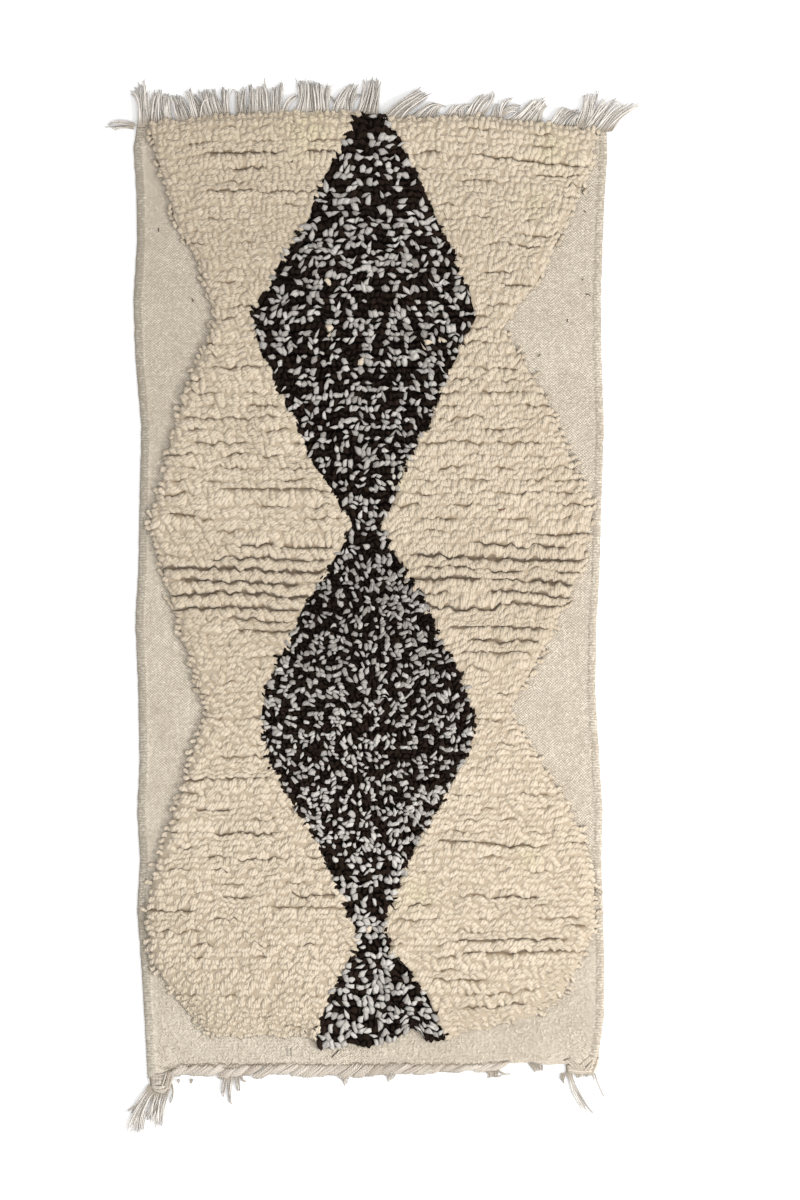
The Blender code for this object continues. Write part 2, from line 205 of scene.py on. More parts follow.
SELVEDGES = [
    Edges(-0.751, -0.364, 0.371),
    Edges(-0.689, -0.368, 0.381),
    Edges(-0.59, -0.374, 0.382),
    Edges(-0.494, -0.381, 0.379),
    Edges(-0.416, -0.376, 0.377),
    Edges(-0.337, -0.381, 0.379),
    Edges(-0.259, -0.377, 0.374),
    Edges(-0.142, -0.379, 0.367),
    Edges(-0.024, -0.384, 0.369),
    Edges(0.054, -0.379, 0.374),
    Edges(0.17, -0.377, 0.377),
    Edges(0.289, -0.374, 0.381),
    Edges(0.406, -0.384, 0.377),
    Edges(0.5, -0.387, 0.376),
    Edges(0.601, -0.381, 0.379),
    Edges(0.68, -0.382, 0.382),
    Edges(0.758, -0.387, 0.387),
    Edges(0.797, -0.381, 0.385),
]
LEFT_RIM = [
    Rim(-0.725, -0.262),
    Rim(-0.673, -0.301),
    Rim(-0.587, -0.359),
    Rim(-0.497, -0.371),
    Rim(-0.414, -0.351),
    Rim(-0.29, -0.309),
    Rim(-0.174, -0.273),
    Rim(-0.064, -0.309),
    Rim(0.042, -0.338),
    Rim(0.129, -0.366),
    Rim(0.22, -0.341),
    Rim(0.344, -0.309),
    Rim(0.438, -0.268),
    Rim(0.468, -0.258),
    Rim(0.546, -0.281),
    Rim(0.633, -0.324),
    Rim(0.797, -0.369),
]
RIGHT_RIM = [
    Rim(-0.717, 0.13),
    Rim(-0.697, 0.213),
    Rim(-0.688, 0.27),
    Rim(-0.664, 0.315),
    Rim(-0.582, 0.35),
    Rim(-0.53, 0.372),
    Rim(-0.448, 0.37),
    Rim(-0.377, 0.351),
    Rim(-0.306, 0.315),
    Rim(-0.23, 0.265),
    Rim(-0.173, 0.231),
    Rim(-0.042, 0.302),
    Rim(0.064, 0.348),
    Rim(0.155, 0.369),
    Rim(0.248, 0.327),
    Rim(0.339, 0.291),
    Rim(0.411, 0.245),
    Rim(0.452, 0.221),
    Rim(0.557, 0.291),
    Rim(0.651, 0.333),
    Rim(0.73, 0.364),
    Rim(0.797, 0.374),
]
LOZENGES = [
    Edges(-0.717, -0.092, 0.126),
    Edges(-0.628, -0.064, 0.09),
    Edges(-0.56, -0.024, 0.036),
    Edges(-0.53, -0.02, 0.024),
    Edges(-0.505, -0.036, 0.025),
    Edges(-0.383, -0.09, 0.078),
    Edges(-0.26, -0.166, 0.15),
    Edges(-0.205, -0.179, 0.172),
    Edges(-0.139, -0.172, 0.162),
    Edges(-0.09, -0.148, 0.134),
    Edges(0.008, -0.104, 0.086),
    Edges(0.1, -0.044, 0.032),
    Edges(0.135, -0.031, 0.022),
    Edges(0.236, -0.096, 0.066),
    Edges(0.334, -0.142, 0.112),
    Edges(0.416, -0.181, 0.145),
    Edges(0.47, -0.199, 0.174),
    Edges(0.562, -0.144, 0.142),
    Edges(0.628, -0.105, 0.108),
    Edges(0.693, -0.078, 0.08),
    Edges(0.742, -0.05, 0.056),
    Edges(0.779, -0.027, 0.038),
    Edges(0.797, -0.006, 0.022),
]

# The main creases of the pile, from the head down, first left of the lozenges and then right.
PARTINGS = [
    Parting(-0.271, -0.139, 0.74, 0.738, 0.738, 0.0034),
    Parting(-0.112, -0.058, 0.743, 0.743, 0.742, 0.0026),
    Parting(-0.235, -0.167, 0.711, 0.711, 0.712, 0.0024),
    Parting(-0.271, -0.082, 0.676, 0.675, 0.674, 0.0016),
    Parting(-0.245, -0.082, 0.192, 0.191, 0.192, 0.0022),
    Parting(-0.337, -0.285, 0.16, 0.15, 0.142, 0.0026),
    Parting(-0.224, -0.058, 0.097, 0.096, 0.085, 0.003),
    Parting(-0.26, -0.069, 0.076, 0.076, 0.066, 0.0036),
    Parting(-0.337, -0.074, 0.06, 0.059, 0.052, 0.006),
    Parting(-0.31, -0.115, 0.041, 0.037, 0.031, 0.0052),
    Parting(-0.325, -0.1, 0.016, 0.021, 0.01, 0.005),
    Parting(-0.322, -0.117, -0.008, -0.003, -0.013, 0.0042),
    Parting(-0.236, -0.131, -0.021, -0.024, -0.029, 0.0028),
    Parting(-0.224, -0.125, -0.042, -0.043, -0.044, 0.0024),
    Parting(-0.31, -0.159, -0.287, -0.282, -0.282, 0.002),
    Parting(-0.288, -0.221, -0.334, -0.333, -0.334, 0.0018),
    Parting(-0.257, -0.148, -0.377, -0.371, -0.374, 0.0022),
    Parting(-0.315, -0.288, -0.397, -0.399, -0.4, 0.0026),
    Parting(-0.219, -0.144, -0.417, -0.412, -0.414, 0.0024),
    Parting(-0.262, -0.226, -0.431, -0.43, -0.442, 0.0024),
    Parting(-0.133, -0.05, -0.473, -0.474, -0.471, 0.0026),
    Parting(-0.231, -0.193, -0.478, -0.477, -0.478, 0.0018),
    Parting(-0.367, -0.283, -0.497, -0.499, -0.497, 0.0024),
    Parting(0.076, 0.115, 0.738, 0.739, 0.739, 0.0022),
    Parting(0.168, 0.358, 0.735, 0.722, 0.706, 0.0018),
    Parting(0.264, 0.344, 0.702, 0.695, 0.7, 0.0012),
    Parting(0.241, 0.296, 0.606, 0.598, 0.597, 0.0012),
    Parting(0.211, 0.28, 0.592, 0.586, 0.582, 0.0014),
    Parting(0.18, 0.234, 0.537, 0.544, 0.539, 0.0014),
    Parting(0.205, 0.268, 0.521, 0.521, 0.511, 0.0014),
    Parting(0.081, 0.143, 0.142, 0.14, 0.142, 0.0018),
    Parting(0.086, 0.12, 0.122, 0.121, 0.122, 0.0018),
    Parting(0.264, 0.363, 0.116, 0.112, 0.116, 0.0024),
    Parting(0.168, 0.325, 0.101, 0.097, 0.095, 0.0034),
    Parting(0.067, 0.344, 0.082, 0.075, 0.065, 0.0056),
    Parting(0.083, 0.177, 0.063, 0.063, 0.06, 0.0032),
    Parting(0.188, 0.246, 0.053, 0.054, 0.053, 0.0034),
    Parting(0.298, 0.344, 0.055, 0.052, 0.049, 0.0028),
    Parting(0.067, 0.18, 0.041, 0.045, 0.046, 0.0056),
    Parting(0.195, 0.255, 0.044, 0.041, 0.038, 0.0032),
    Parting(0.257, 0.33, 0.038, 0.039, 0.03, 0.006),
    Parting(0.072, 0.131, 0.023, 0.02, 0.02, 0.0024),
    Parting(0.191, 0.326, 0.022, 0.02, 0.011, 0.004),
    Parting(0.084, 0.219, 0.004, -0.008, -0.01, 0.0046),
    Parting(0.211, 0.314, 0.005, 0.002, -0.004, 0.0034),
    Parting(0.125, 0.291, -0.029, -0.034, -0.038, 0.003),
    Parting(0.154, 0.28, -0.053, -0.058, -0.059, 0.003),
    Parting(0.143, 0.262, -0.075, -0.077, -0.077, 0.002),
    Parting(0.107, 0.273, -0.381, -0.388, -0.393, 0.0026),
    Parting(0.192, 0.278, -0.476, -0.478, -0.478, 0.0026),
    Parting(0.056, 0.103, -0.489, -0.487, -0.488, 0.002),
    Parting(0.315, 0.356, -0.516, -0.52, -0.525, 0.002),
    Parting(0.139, 0.312, -0.547, -0.542, -0.545, 0.003),
    Parting(0.149, 0.32, -0.564, -0.567, -0.562, 0.0026),
    Parting(0.104, 0.184, -0.61, -0.612, -0.611, 0.002),
    Parting(0.144, 0.257, -0.653, -0.653, -0.65, 0.002),
]

# How the locks lie from foot to head. The pile is combed outwards, and pressed level in the middle.
CREAM_NAPS = (
    Nap(-0.72, 98.0, 132.0, 26.0, 2.0, 0.0116, 0.0165, 0.0122),
    Nap(-0.64, 95.0, 124.0, 24.0, 2.0, 0.012, 0.0175, 0.0122),
    Nap(-0.54, 88.0, 108.0, 20.0, 2.0, 0.0126, 0.019, 0.0118),
    Nap(-0.4, 80.0, 92.0, 17.0, 2.0, 0.0132, 0.0205, 0.0118),
    Nap(-0.15, 78.0, 88.0, 17.0, 2.0, 0.0132, 0.0205, 0.0118),
    Nap(-0.03, 66.0, 76.0, 19.0, 2.0, 0.0124, 0.0195, 0.0122),
    Nap(0.04, 60.0, 68.0, 20.0, 2.0, 0.0118, 0.0186, 0.013),
    Nap(0.15, 58.0, 62.0, 20.0, 2.0, 0.0112, 0.0184, 0.0128),
    Nap(0.35, 50.0, 58.0, 22.0, 2.0, 0.0104, 0.0172, 0.0124),
    Nap(0.47, 30.0, 50.0, 30.0, 2.0, 0.0096, 0.0156, 0.012),
    Nap(0.62, 22.0, 48.0, 38.0, 2.0, 0.0092, 0.0142, 0.0118),
    Nap(0.797, 8.0, 44.0, 40.0, 2.0, 0.009, 0.014, 0.0118),
)
LOZENGE_NAPS = (
    Nap(-0.72, 40.0, 60.0, 60.0, 2.0, 0.0102, 0.014, 0.0112),
    Nap(-0.5, 40.0, 60.0, 60.0, 2.0, 0.0094, 0.0118, 0.0108),
    Nap(-0.44, 60.0, 66.0, 44.0, 2.0, 0.0088, 0.0112, 0.0098),
    Nap(-0.4, 70.0, 74.0, 32.0, 3.0, 0.0088, 0.0114, 0.008),
    Nap(-0.08, 84.0, 80.0, 24.0, 3.0, 0.0088, 0.0118, 0.0078),
    Nap(0.06, 80.0, 80.0, 24.0, 3.0, 0.0088, 0.0118, 0.0078),
    Nap(0.11, 66.0, 70.0, 36.0, 2.0, 0.0088, 0.011, 0.0094),
    Nap(0.2, 56.0, 60.0, 44.0, 2.0, 0.0088, 0.0106, 0.0098),
    Nap(0.42, 24.0, 40.0, 56.0, 2.0, 0.0087, 0.0098, 0.011),
    Nap(0.6, 10.0, 24.0, 46.0, 2.0, 0.0089, 0.0106, 0.0116),
    Nap(0.797, 4.0, 10.0, 36.0, 2.0, 0.009, 0.0114, 0.0116),
)
RISES = [
    Rise(-0.345, -0.007),
    Rise(-0.301, -0.003),
    Rise(-0.284, 0.0006),
    Rise(-0.249, -0.0004),
    Rise(-0.229, -0.0044),
    Rise(-0.213, -0.0008),
    Rise(-0.18, 0.001),
    Rise(-0.15, -0.001),
    Rise(-0.11, 0.0004),
    Rise(-0.04, -0.001),
    Rise(0.03, 0.0004),
    Rise(0.11, -0.0012),
    Rise(0.218, 0.0),
]
REACHES = [
    Reach(-0.375, 0.03, 0.004),
    Reach(-0.3, 0.024, 0.002),
    Reach(-0.278, 0.017, 0.004),
    Reach(-0.237, 0.014, 0.008),
    Reach(-0.18, 0.013, 0.009),
    Reach(-0.114, 0.012, 0.0095),
    Reach(-0.096, 0.008, 0.0095),
    Reach(-0.079, -0.003, 0.009),
    Reach(-0.066, -0.003, 0.0088),
    Reach(-0.05, -0.0068, 0.0085),
    Reach(-0.033, 0.0016, 0.008),
    Reach(-0.007, -0.005, 0.006),
    Reach(0.015, 0.0031, 0.004),
    Reach(0.04, 0.0047, 0.0),
    Reach(0.056, 0.024, 0.0),
    Reach(0.08, 0.024, 0.0),
    Reach(0.092, 0.009, 0.001),
    Reach(0.12, 0.0065, 0.001),
    Reach(0.132, 0.015, 0.0015),
    Reach(0.18, 0.013, 0.002),
    Reach(0.244, 0.012, -0.002),
    Reach(0.31, 0.01, -0.005),
    Reach(0.375, 0.01, -0.003),
]

WHITE_SHARES = [
    Share(-0.717, 0.57),
    Share(-0.56, 0.62),
    Share(-0.5, 0.54),
    Share(-0.3, 0.46),
    Share(-0.05, 0.47),
    Share(0.04, 0.47),
    Share(0.2, 0.49),
    Share(0.33, 0.5),
    Share(0.465, 0.48),
    Share(0.64, 0.53),
    Share(0.74, 0.51),
    Share(0.797, 0.34),
]

# Painted light and shade on the cream wool: lighter towards the foot and at the head's right corner,
# darker across the middle and at the head's left corner.
PAINTED_SHADING = [
    PaintedShading(-0.717, 0.16, 0.12),
    PaintedShading(-0.4, 0.22, 0.12),
    PaintedShading(-0.2, 0.1, 0.04),
    PaintedShading(-0.04, -0.3, -0.32),
    PaintedShading(0.06, -0.34, -0.34),
    PaintedShading(0.15, -0.02, -0.04),
    PaintedShading(0.4, -0.04, -0.04),
    PaintedShading(0.6, -0.1, 0.1),
    PaintedShading(0.797, -0.14, 0.32),
]

LINES = [
    Line(-0.717, 0.25),
    Line(-0.6, 0.55),
    Line(-0.35, 0.5),
    Line(-0.08, 0.2),
    Line(0.1, 0.1),
    Line(0.16, 1.0),
    Line(0.44, 1.0),
    Line(0.5, 0.45),
    Line(0.62, 0.3),
    Line(0.797, 0.5),
]

CREAM_KNOTS = [
    Patch(0.089, 0.437, 0.014),
    Patch(0.117, 0.431, 0.009),
    Patch(-0.068, 0.524, 0.009),
    Patch(-0.068, 0.449, 0.007),
    Patch(-0.019, 0.394, 0.007),
    Patch(-0.004, -0.53, 0.008),
]
STAINS = [
    Patch(0.295, 0.757, 0.03),
    Patch(0.268, 0.662, 0.02),
    Patch(-0.1, 0.77, 0.04),
    Patch(0.075, -0.47, 0.026),
    Patch(0.255, -0.41, 0.022),
    Patch(-0.365, 0.476, 0.018),
    Patch(0.04, 0.2, 0.02),
    Patch(-0.33, -0.69, 0.05),
]

# The bunches of the fringe, from the strands out at the left corner to the right one, as they lie.
FRINGE = (
    Bunch((-0.384, 0.789, -0.402, 0.789, -0.423, 0.788),
          (-0.384, 0.786, -0.403, 0.784, -0.428, 0.781), 5, 0.0015, 0.3),
    Bunch((-0.386, 0.784, -0.402, 0.781, -0.426, 0.78),
          (-0.386, 0.781, -0.402, 0.777, -0.418, 0.772), 5, 0.0015, 0.3),
    Bunch((-0.38, 0.784, -0.379, 0.818, -0.391, 0.838),
          (-0.369, 0.784, -0.368, 0.818, -0.369, 0.853), 18, 0.005, 0.2),
    Bunch((-0.368, 0.787, -0.366, 0.812, -0.364, 0.835),
          (-0.348, 0.786, -0.35, 0.812, -0.346, 0.838), 16, 0.004, 0.5),
    Bunch((-0.345, 0.786, -0.345, 0.808, -0.343, 0.836),
          (-0.322, 0.789, -0.328, 0.81, -0.327, 0.831), 20, 0.005, 0.3),
    Bunch((-0.314, 0.789, -0.32, 0.81, -0.325, 0.83),
          (-0.286, 0.79, -0.297, 0.81, -0.307, 0.831), 20, 0.005, 0.12),
    Bunch((-0.288, 0.79, -0.296, 0.818, -0.302, 0.836),
          (-0.278, 0.792, -0.288, 0.82, -0.293, 0.844), 9, 0.006, 0.2),
    Bunch((-0.278, 0.792, -0.285, 0.813, -0.296, 0.831),
          (-0.265, 0.794, -0.276, 0.815, -0.286, 0.833), 9, 0.004, 0.2),
    Bunch((-0.268, 0.792, -0.275, 0.817, -0.281, 0.838),
          (-0.242, 0.799, -0.25, 0.818, -0.255, 0.84), 26, 0.005, 0.2),
    Bunch((-0.278, 0.79, -0.273, 0.817, -0.257, 0.827),
          (-0.275, 0.792, -0.271, 0.82, -0.254, 0.829), 2, 0.0075, 0.1),
    Bunch((-0.252, 0.797, -0.254, 0.815, -0.257, 0.825),
          (-0.234, 0.799, -0.242, 0.817, -0.245, 0.826), 8, 0.003, 0.3),
    Bunch((-0.242, 0.8, -0.243, 0.823, -0.243, 0.844),
          (-0.23, 0.8, -0.232, 0.823, -0.232, 0.841), 12, 0.005, 0.2),
    Bunch((-0.214, 0.813, -0.221, 0.839, -0.231, 0.832),
          (-0.213, 0.815, -0.22, 0.841, -0.232, 0.833), 1, 0.003, 0.1),
    Bunch((-0.22, 0.799, -0.219, 0.823, -0.219, 0.838),
          (-0.19, 0.799, -0.193, 0.823, -0.196, 0.849), 24, 0.005, 0.3),
    Bunch((-0.193, 0.799, -0.19, 0.825, -0.192, 0.841),
          (-0.177, 0.799, -0.179, 0.826, -0.18, 0.844), 14, 0.005, 0.15),
    Bunch((-0.177, 0.799, -0.177, 0.823, -0.179, 0.843),
          (-0.161, 0.799, -0.165, 0.825, -0.17, 0.85), 14, 0.005, 0.15),
    Bunch((-0.162, 0.799, -0.162, 0.826, -0.164, 0.839),
          (-0.146, 0.799, -0.147, 0.826, -0.146, 0.851), 16, 0.005, 0.2),
    Bunch((-0.149, 0.799, -0.146, 0.826, -0.141, 0.849),
          (-0.147, 0.799, -0.145, 0.828, -0.138, 0.841), 2, 0.003, 0.3),
    Bunch((-0.146, 0.8, -0.139, 0.818, -0.123, 0.833),
          (-0.138, 0.799, -0.133, 0.816, -0.117, 0.83), 8, 0.003, 0.15),
    Bunch((-0.133, 0.799, -0.117, 0.822, -0.12, 0.853),
          (-0.11, 0.799, -0.107, 0.823, -0.107, 0.854), 18, 0.006, 0.4),
    Bunch((-0.11, 0.799, -0.107, 0.826, -0.107, 0.854),
          (-0.086, 0.8, -0.089, 0.826, -0.09, 0.851), 20, 0.006, 0.35),
    Bunch((-0.089, 0.8, -0.09, 0.825, -0.092, 0.849),
          (-0.068, 0.8, -0.071, 0.825, -0.072, 0.849), 20, 0.006, 0.3),
    Bunch((-0.071, 0.802, -0.069, 0.828, -0.067, 0.849),
          (-0.069, 0.802, -0.068, 0.825, -0.063, 0.846), 2, 0.003, 0.2),
    Bunch((-0.059, 0.802, -0.058, 0.817, -0.069, 0.828),
          (-0.055, 0.802, -0.055, 0.815, -0.066, 0.831), 4, 0.004, 0.15),
    Bunch((-0.064, 0.8, -0.055, 0.824, -0.04, 0.843),
          (-0.03, 0.797, -0.03, 0.822, -0.022, 0.848), 26, 0.005, 0.2),
    Bunch((-0.035, 0.8, -0.03, 0.823, -0.019, 0.834),
          (-0.03, 0.8, -0.027, 0.822, -0.015, 0.831), 4, 0.003, 0.2),
    Bunch((-0.029, 0.797, -0.015, 0.823, -0.009, 0.856),
          (0.011, 0.799, 0.012, 0.825, 0.015, 0.853), 34, 0.006, 0.2),
    Bunch((0.011, 0.797, 0.042, 0.816, 0.076, 0.839),
          (0.051, 0.789, 0.063, 0.806, 0.094, 0.83), 34, 0.007, 0.14),
    Bunch((0.059, 0.795, 0.087, 0.813, 0.107, 0.818),
          (0.11, 0.794, 0.11, 0.808, 0.123, 0.813), 20, 0.004, 0.25),
    Bunch((0.113, 0.795, 0.13, 0.809, 0.138, 0.815),
          (0.156, 0.795, 0.151, 0.807, 0.165, 0.817), 20, 0.004, 0.25),
    Bunch((0.149, 0.795, 0.164, 0.814, 0.177, 0.83),
          (0.178, 0.797, 0.185, 0.815, 0.198, 0.831), 18, 0.004, 0.25),
    Bunch((0.18, 0.804, 0.195, 0.821, 0.199, 0.839),
          (0.183, 0.804, 0.198, 0.82, 0.201, 0.837), 3, 0.003, 0.2),
    Bunch((0.193, 0.794, 0.198, 0.805, 0.203, 0.815),
          (0.213, 0.794, 0.209, 0.805, 0.209, 0.817), 12, 0.004, 0.3),
    Bunch((0.208, 0.794, 0.213, 0.813, 0.218, 0.823),
          (0.214, 0.794, 0.218, 0.812, 0.232, 0.826), 9, 0.004, 0.3),
    Bunch((0.208, 0.805, 0.226, 0.812, 0.242, 0.814),
          (0.213, 0.8, 0.227, 0.804, 0.24, 0.806), 8, 0.005, 0.15),
    Bunch((0.214, 0.792, 0.234, 0.8, 0.245, 0.808),
          (0.224, 0.79, 0.237, 0.799, 0.249, 0.805), 3, 0.003, 0.2),
    Bunch((0.221, 0.79, 0.25, 0.811, 0.263, 0.822),
          (0.26, 0.787, 0.273, 0.806, 0.284, 0.825), 24, 0.005, 0.25),
    Bunch((0.254, 0.787, 0.267, 0.801, 0.281, 0.823),
          (0.278, 0.786, 0.28, 0.802, 0.289, 0.812), 9, 0.004, 0.2),
    Bunch((0.281, 0.777, 0.301, 0.8, 0.31, 0.812),
          (0.304, 0.776, 0.315, 0.797, 0.325, 0.808), 18, 0.004, 0.3),
    Bunch((0.296, 0.776, 0.314, 0.795, 0.335, 0.807),
          (0.338, 0.776, 0.338, 0.794, 0.353, 0.802), 18, 0.006, 0.2),
    Bunch((0.332, 0.784, 0.346, 0.81, 0.348, 0.831),
          (0.358, 0.781, 0.366, 0.809, 0.374, 0.838), 20, 0.006, 0.25),
    Bunch((0.34, 0.773, 0.362, 0.8, 0.381, 0.825),
          (0.392, 0.777, 0.411, 0.796, 0.434, 0.815), 26, 0.005, 0.14),
)


class Yarn(Enum):
    """The yarns that the locks of the lozenges are knotted in, and none for the field around them."""

    NONE = "none"
    CREAM = "cream"
    BLACK = "black"
    WHITE = "white"


def column(table: Sequence[NamedTuple], at: np.ndarray, name: str) -> np.ndarray:
    """Reads a table's column between its rows.

    Args:
        table: The rows, in the order of their first column.
        at: Places along the first column.
        name: The column to read.

    Returns:
        The column's values there, on straight lines between the rows.
    """
    places = [row[0] for row in table]
    values = [getattr(row, name) for row in table]
    return np.interp(at, places, values)


def uneven(x: np.ndarray, y: np.ndarray, size: float, layer: float = 0.0) -> np.ndarray:
    """A soft unevenness over the rug.

    Args:
        x: Places across the rug.
        y: Places up the rug.
        size: How far apart its humps are.
        layer: Which one of many such patterns.

    Returns:
        Values from -1 to 1, one for each place.
    """
    x, y = np.broadcast_arrays(x, y)
    flat = zip((x / size).ravel(), (y / size).ravel())
    return np.array([noise.noise(Vector((a, b, layer))) for a, b in flat]).reshape(x.shape)


def deselect_all() -> None:
    """Leaves nothing selected, so that an operator acts on the new shape alone."""
    for thing in bpy.context.selected_objects:
        thing.select_set(False)


@dataclass(frozen=True)
class Loom:
    """The rug as it stood on the loom, and how it lies on the floor."""

    head: float = 0.797
    foot: float = -0.751
    head_bow_from: float = 0.400
    foot_bow_from: float = -0.450
    plait_left: float = -0.3675

    def shift(self) -> np.ndarray:
        """Measures how far the loom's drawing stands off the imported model.

        Returns:
            The way from the drawing to the model's frame.
        """
        ground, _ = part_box("ground_weave")
        plait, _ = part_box("edge_plait_foot")
        return np.array([plait.x - self.plait_left, ground.y - self.foot, 0.0])

    def bow(self, x: np.ndarray, y: np.ndarray) -> np.ndarray:
        """How far a point shifts up the rug as the ends bow.

        Args:
            x: Places across the rug.
            y: Places up the rug.

        Returns:
            The shift of each.
        """
        head = np.clip((y - self.head_bow_from) / (self.head - self.head_bow_from), 0, 1)
        foot = np.clip((self.foot_bow_from - y) / (self.foot_bow_from - self.foot), 0, 1)
        return head * column(BOWS, x, "head") + foot * column(BOWS, x, "foot")

    def lay_down(self, points: np.ndarray) -> np.ndarray:
        """Puts points that are drawn on the loom where they lie on the floor.

        Args:
            points: The points, as rows of x, y and z.

        Returns:
            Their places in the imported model's frame.
        """
        laid = points + self.shift()
        laid[..., 1] += self.bow(points[..., 0], points[..., 1])
        return laid


LOOM = Loom()


@dataclass(frozen=True)
class Model:
    """A shape that is modelled once and copied: its points, its unbent points and its faces."""

    points: np.ndarray
    unbent: np.ndarray
    corners: np.ndarray
    sizes: np.ndarray


def faces_of(mesh: bpy.types.Mesh) -> tuple[np.ndarray, np.ndarray]:
    """Reads a mesh's faces.

    Args:
        mesh: The mesh.

    Returns:
        The point at each corner of each face in turn, and each face's number of corners.
    """
    corners = np.empty(len(mesh.loops), dtype=np.int32)
    mesh.loops.foreach_get("vertex_index", corners)
    sizes = np.array([len(face.vertices) for face in mesh.polygons], dtype=np.int32)
    return corners, sizes


def points_of(mesh: bpy.types.Mesh) -> np.ndarray:
    """Reads a mesh's points.

    Args:
        mesh: The mesh.

    Returns:
        The points, as rows of x, y and z.
    """
    flat = np.empty(3 * len(mesh.vertices), dtype=np.float32)
    mesh.vertices.foreach_get("co", flat)
    return flat.reshape(-1, 3).astype(float)


def write_attribute(mesh: bpy.types.Mesh, name: str, values: np.ndarray) -> None:
    """Gives each point of a mesh its own value or vector, which the materials read.

    Args:
        mesh: The mesh.
        name: The attribute's name.
        values: A value for each point, or rows of three.
    """
    kind, field = ("FLOAT_VECTOR", "vector") if values.ndim == 2 else ("FLOAT", "value")
    layer = mesh.attributes.new(name, kind, "POINT")
    layer.data.foreach_set(field, values.astype(np.float32).ravel())


def add_grid(name: str, columns: int, rows: int) -> bpy.types.Object:
    """Adds a grid, to be shaped into a sheet.

    Args:
        name: The sheet's name.
        columns: Its faces across the rug.
        rows: Its faces up the rug.

    Returns:
        The grid.
    """
    deselect_all()
    bpy.ops.mesh.primitive_grid_add(
        x_subdivisions=columns, y_subdivisions=rows, size=2, location=(0, 0, 0)
    )
    grid = bpy.context.active_object
    grid.name = grid.data.name = name
    return grid


def close_below(sheet: bpy.types.Object, points: np.ndarray, floor: float) -> None:
    """Shapes a grid into a sheet, draws its edge down and closes it below.

    Args:
        sheet: The grid, fresh on the bench.
        points: Its points on the loom, as rows of x, y and z.
        floor: The height of its underside.
    """
    sheet.data.vertices.foreach_set("co", LOOM.lay_down(points).astype(np.float32).ravel())
    bpy.ops.object.mode_set(mode="EDIT")
    bpy.ops.mesh.select_mode(type="EDGE")
    bpy.ops.mesh.select_all(action="DESELECT")
    bpy.ops.mesh.select_non_manifold()
    bpy.ops.mesh.extrude_region_move(TRANSFORM_OT_translate={"value": (0, 0, -0.001)})
    bpy.ops.transform.resize(value=(1, 1, 0), center_override=(0, 0, floor))
    bpy.ops.mesh.edge_face_add()
    bpy.ops.mesh.select_all(action="SELECT")
    bpy.ops.mesh.normals_make_consistent(inside=False)
    bpy.ops.mesh.select_mode(type="VERT")
    bpy.ops.object.mode_set(mode="OBJECT")


def tube_faces(rings: int, sides: int) -> tuple[np.ndarray, np.ndarray]:
    """The faces of a closed tube of rings of points.

    Args:
        rings: The number of rings.
        sides: The number of points in each.

    Returns:
        The corners of the faces in turn, and each face's number of corners.
    """
    corners = list(range(sides))
    sizes = [sides]
    for ring in range(rings - 1):
        for side in range(sides):
            a, b = ring * sides + side, ring * sides + (side + 1) % sides
            corners += [a, a + sides, b + sides, b]
            sizes.append(4)
    corners += list(range((rings - 1) * sides, rings * sides))[::-1]
    sizes.append(sides)
    return np.array(corners), np.array(sizes)


def joined(
    name: str,
    points: np.ndarray,
    unbent: np.ndarray,
    tones: np.ndarray,
    stains: np.ndarray,
    corners: np.ndarray,
    sizes: np.ndarray,
) -> bpy.types.Object:
    """Joins many copies of a shape into one piece that rides on the rug.

    Args:
        name: The piece's name.
        points: The copies' points on the loom, as copy, point, and x, y and z.
        unbent: The same points on the unbent yarn, whose z runs along it.
        tones: Each copy's own tone from 0 to 1.
        stains: How stained each copy is, from 0 to 1.
        corners: The corners of one copy's faces.
        sizes: The number of corners of each of its faces.

    Returns:
        The piece.
    """
    count, each = points.shape[:2]
    all_corners = (corners[None, :] + each * np.arange(count)[:, None]).ravel()
    all_sizes = np.tile(sizes, count)
    mesh = bpy.data.meshes.new(name)
    mesh.vertices.add(count * each)
    mesh.vertices.foreach_set("co", LOOM.lay_down(points).astype(np.float32).ravel())
    mesh.loops.add(len(all_corners))
    mesh.loops.foreach_set("vertex_index", all_corners.astype(np.int32))
    mesh.polygons.add(len(all_sizes))
    starts = np.concatenate(([0], np.cumsum(all_sizes)[:-1]))
    mesh.polygons.foreach_set("loop_start", starts.astype(np.int32))
    mesh.update(calc_edges=True)
    write_attribute(mesh, "yarn", unbent.reshape(-1, 3))
    write_attribute(mesh, "tone", np.repeat(tones, each))
    write_attribute(mesh, "stain", np.repeat(stains, each))
    mesh.shade_smooth()
    piece = bpy.data.objects.new(name, mesh)
    bpy.context.collection.objects.link(piece)
    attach(piece, "root")
    return piece


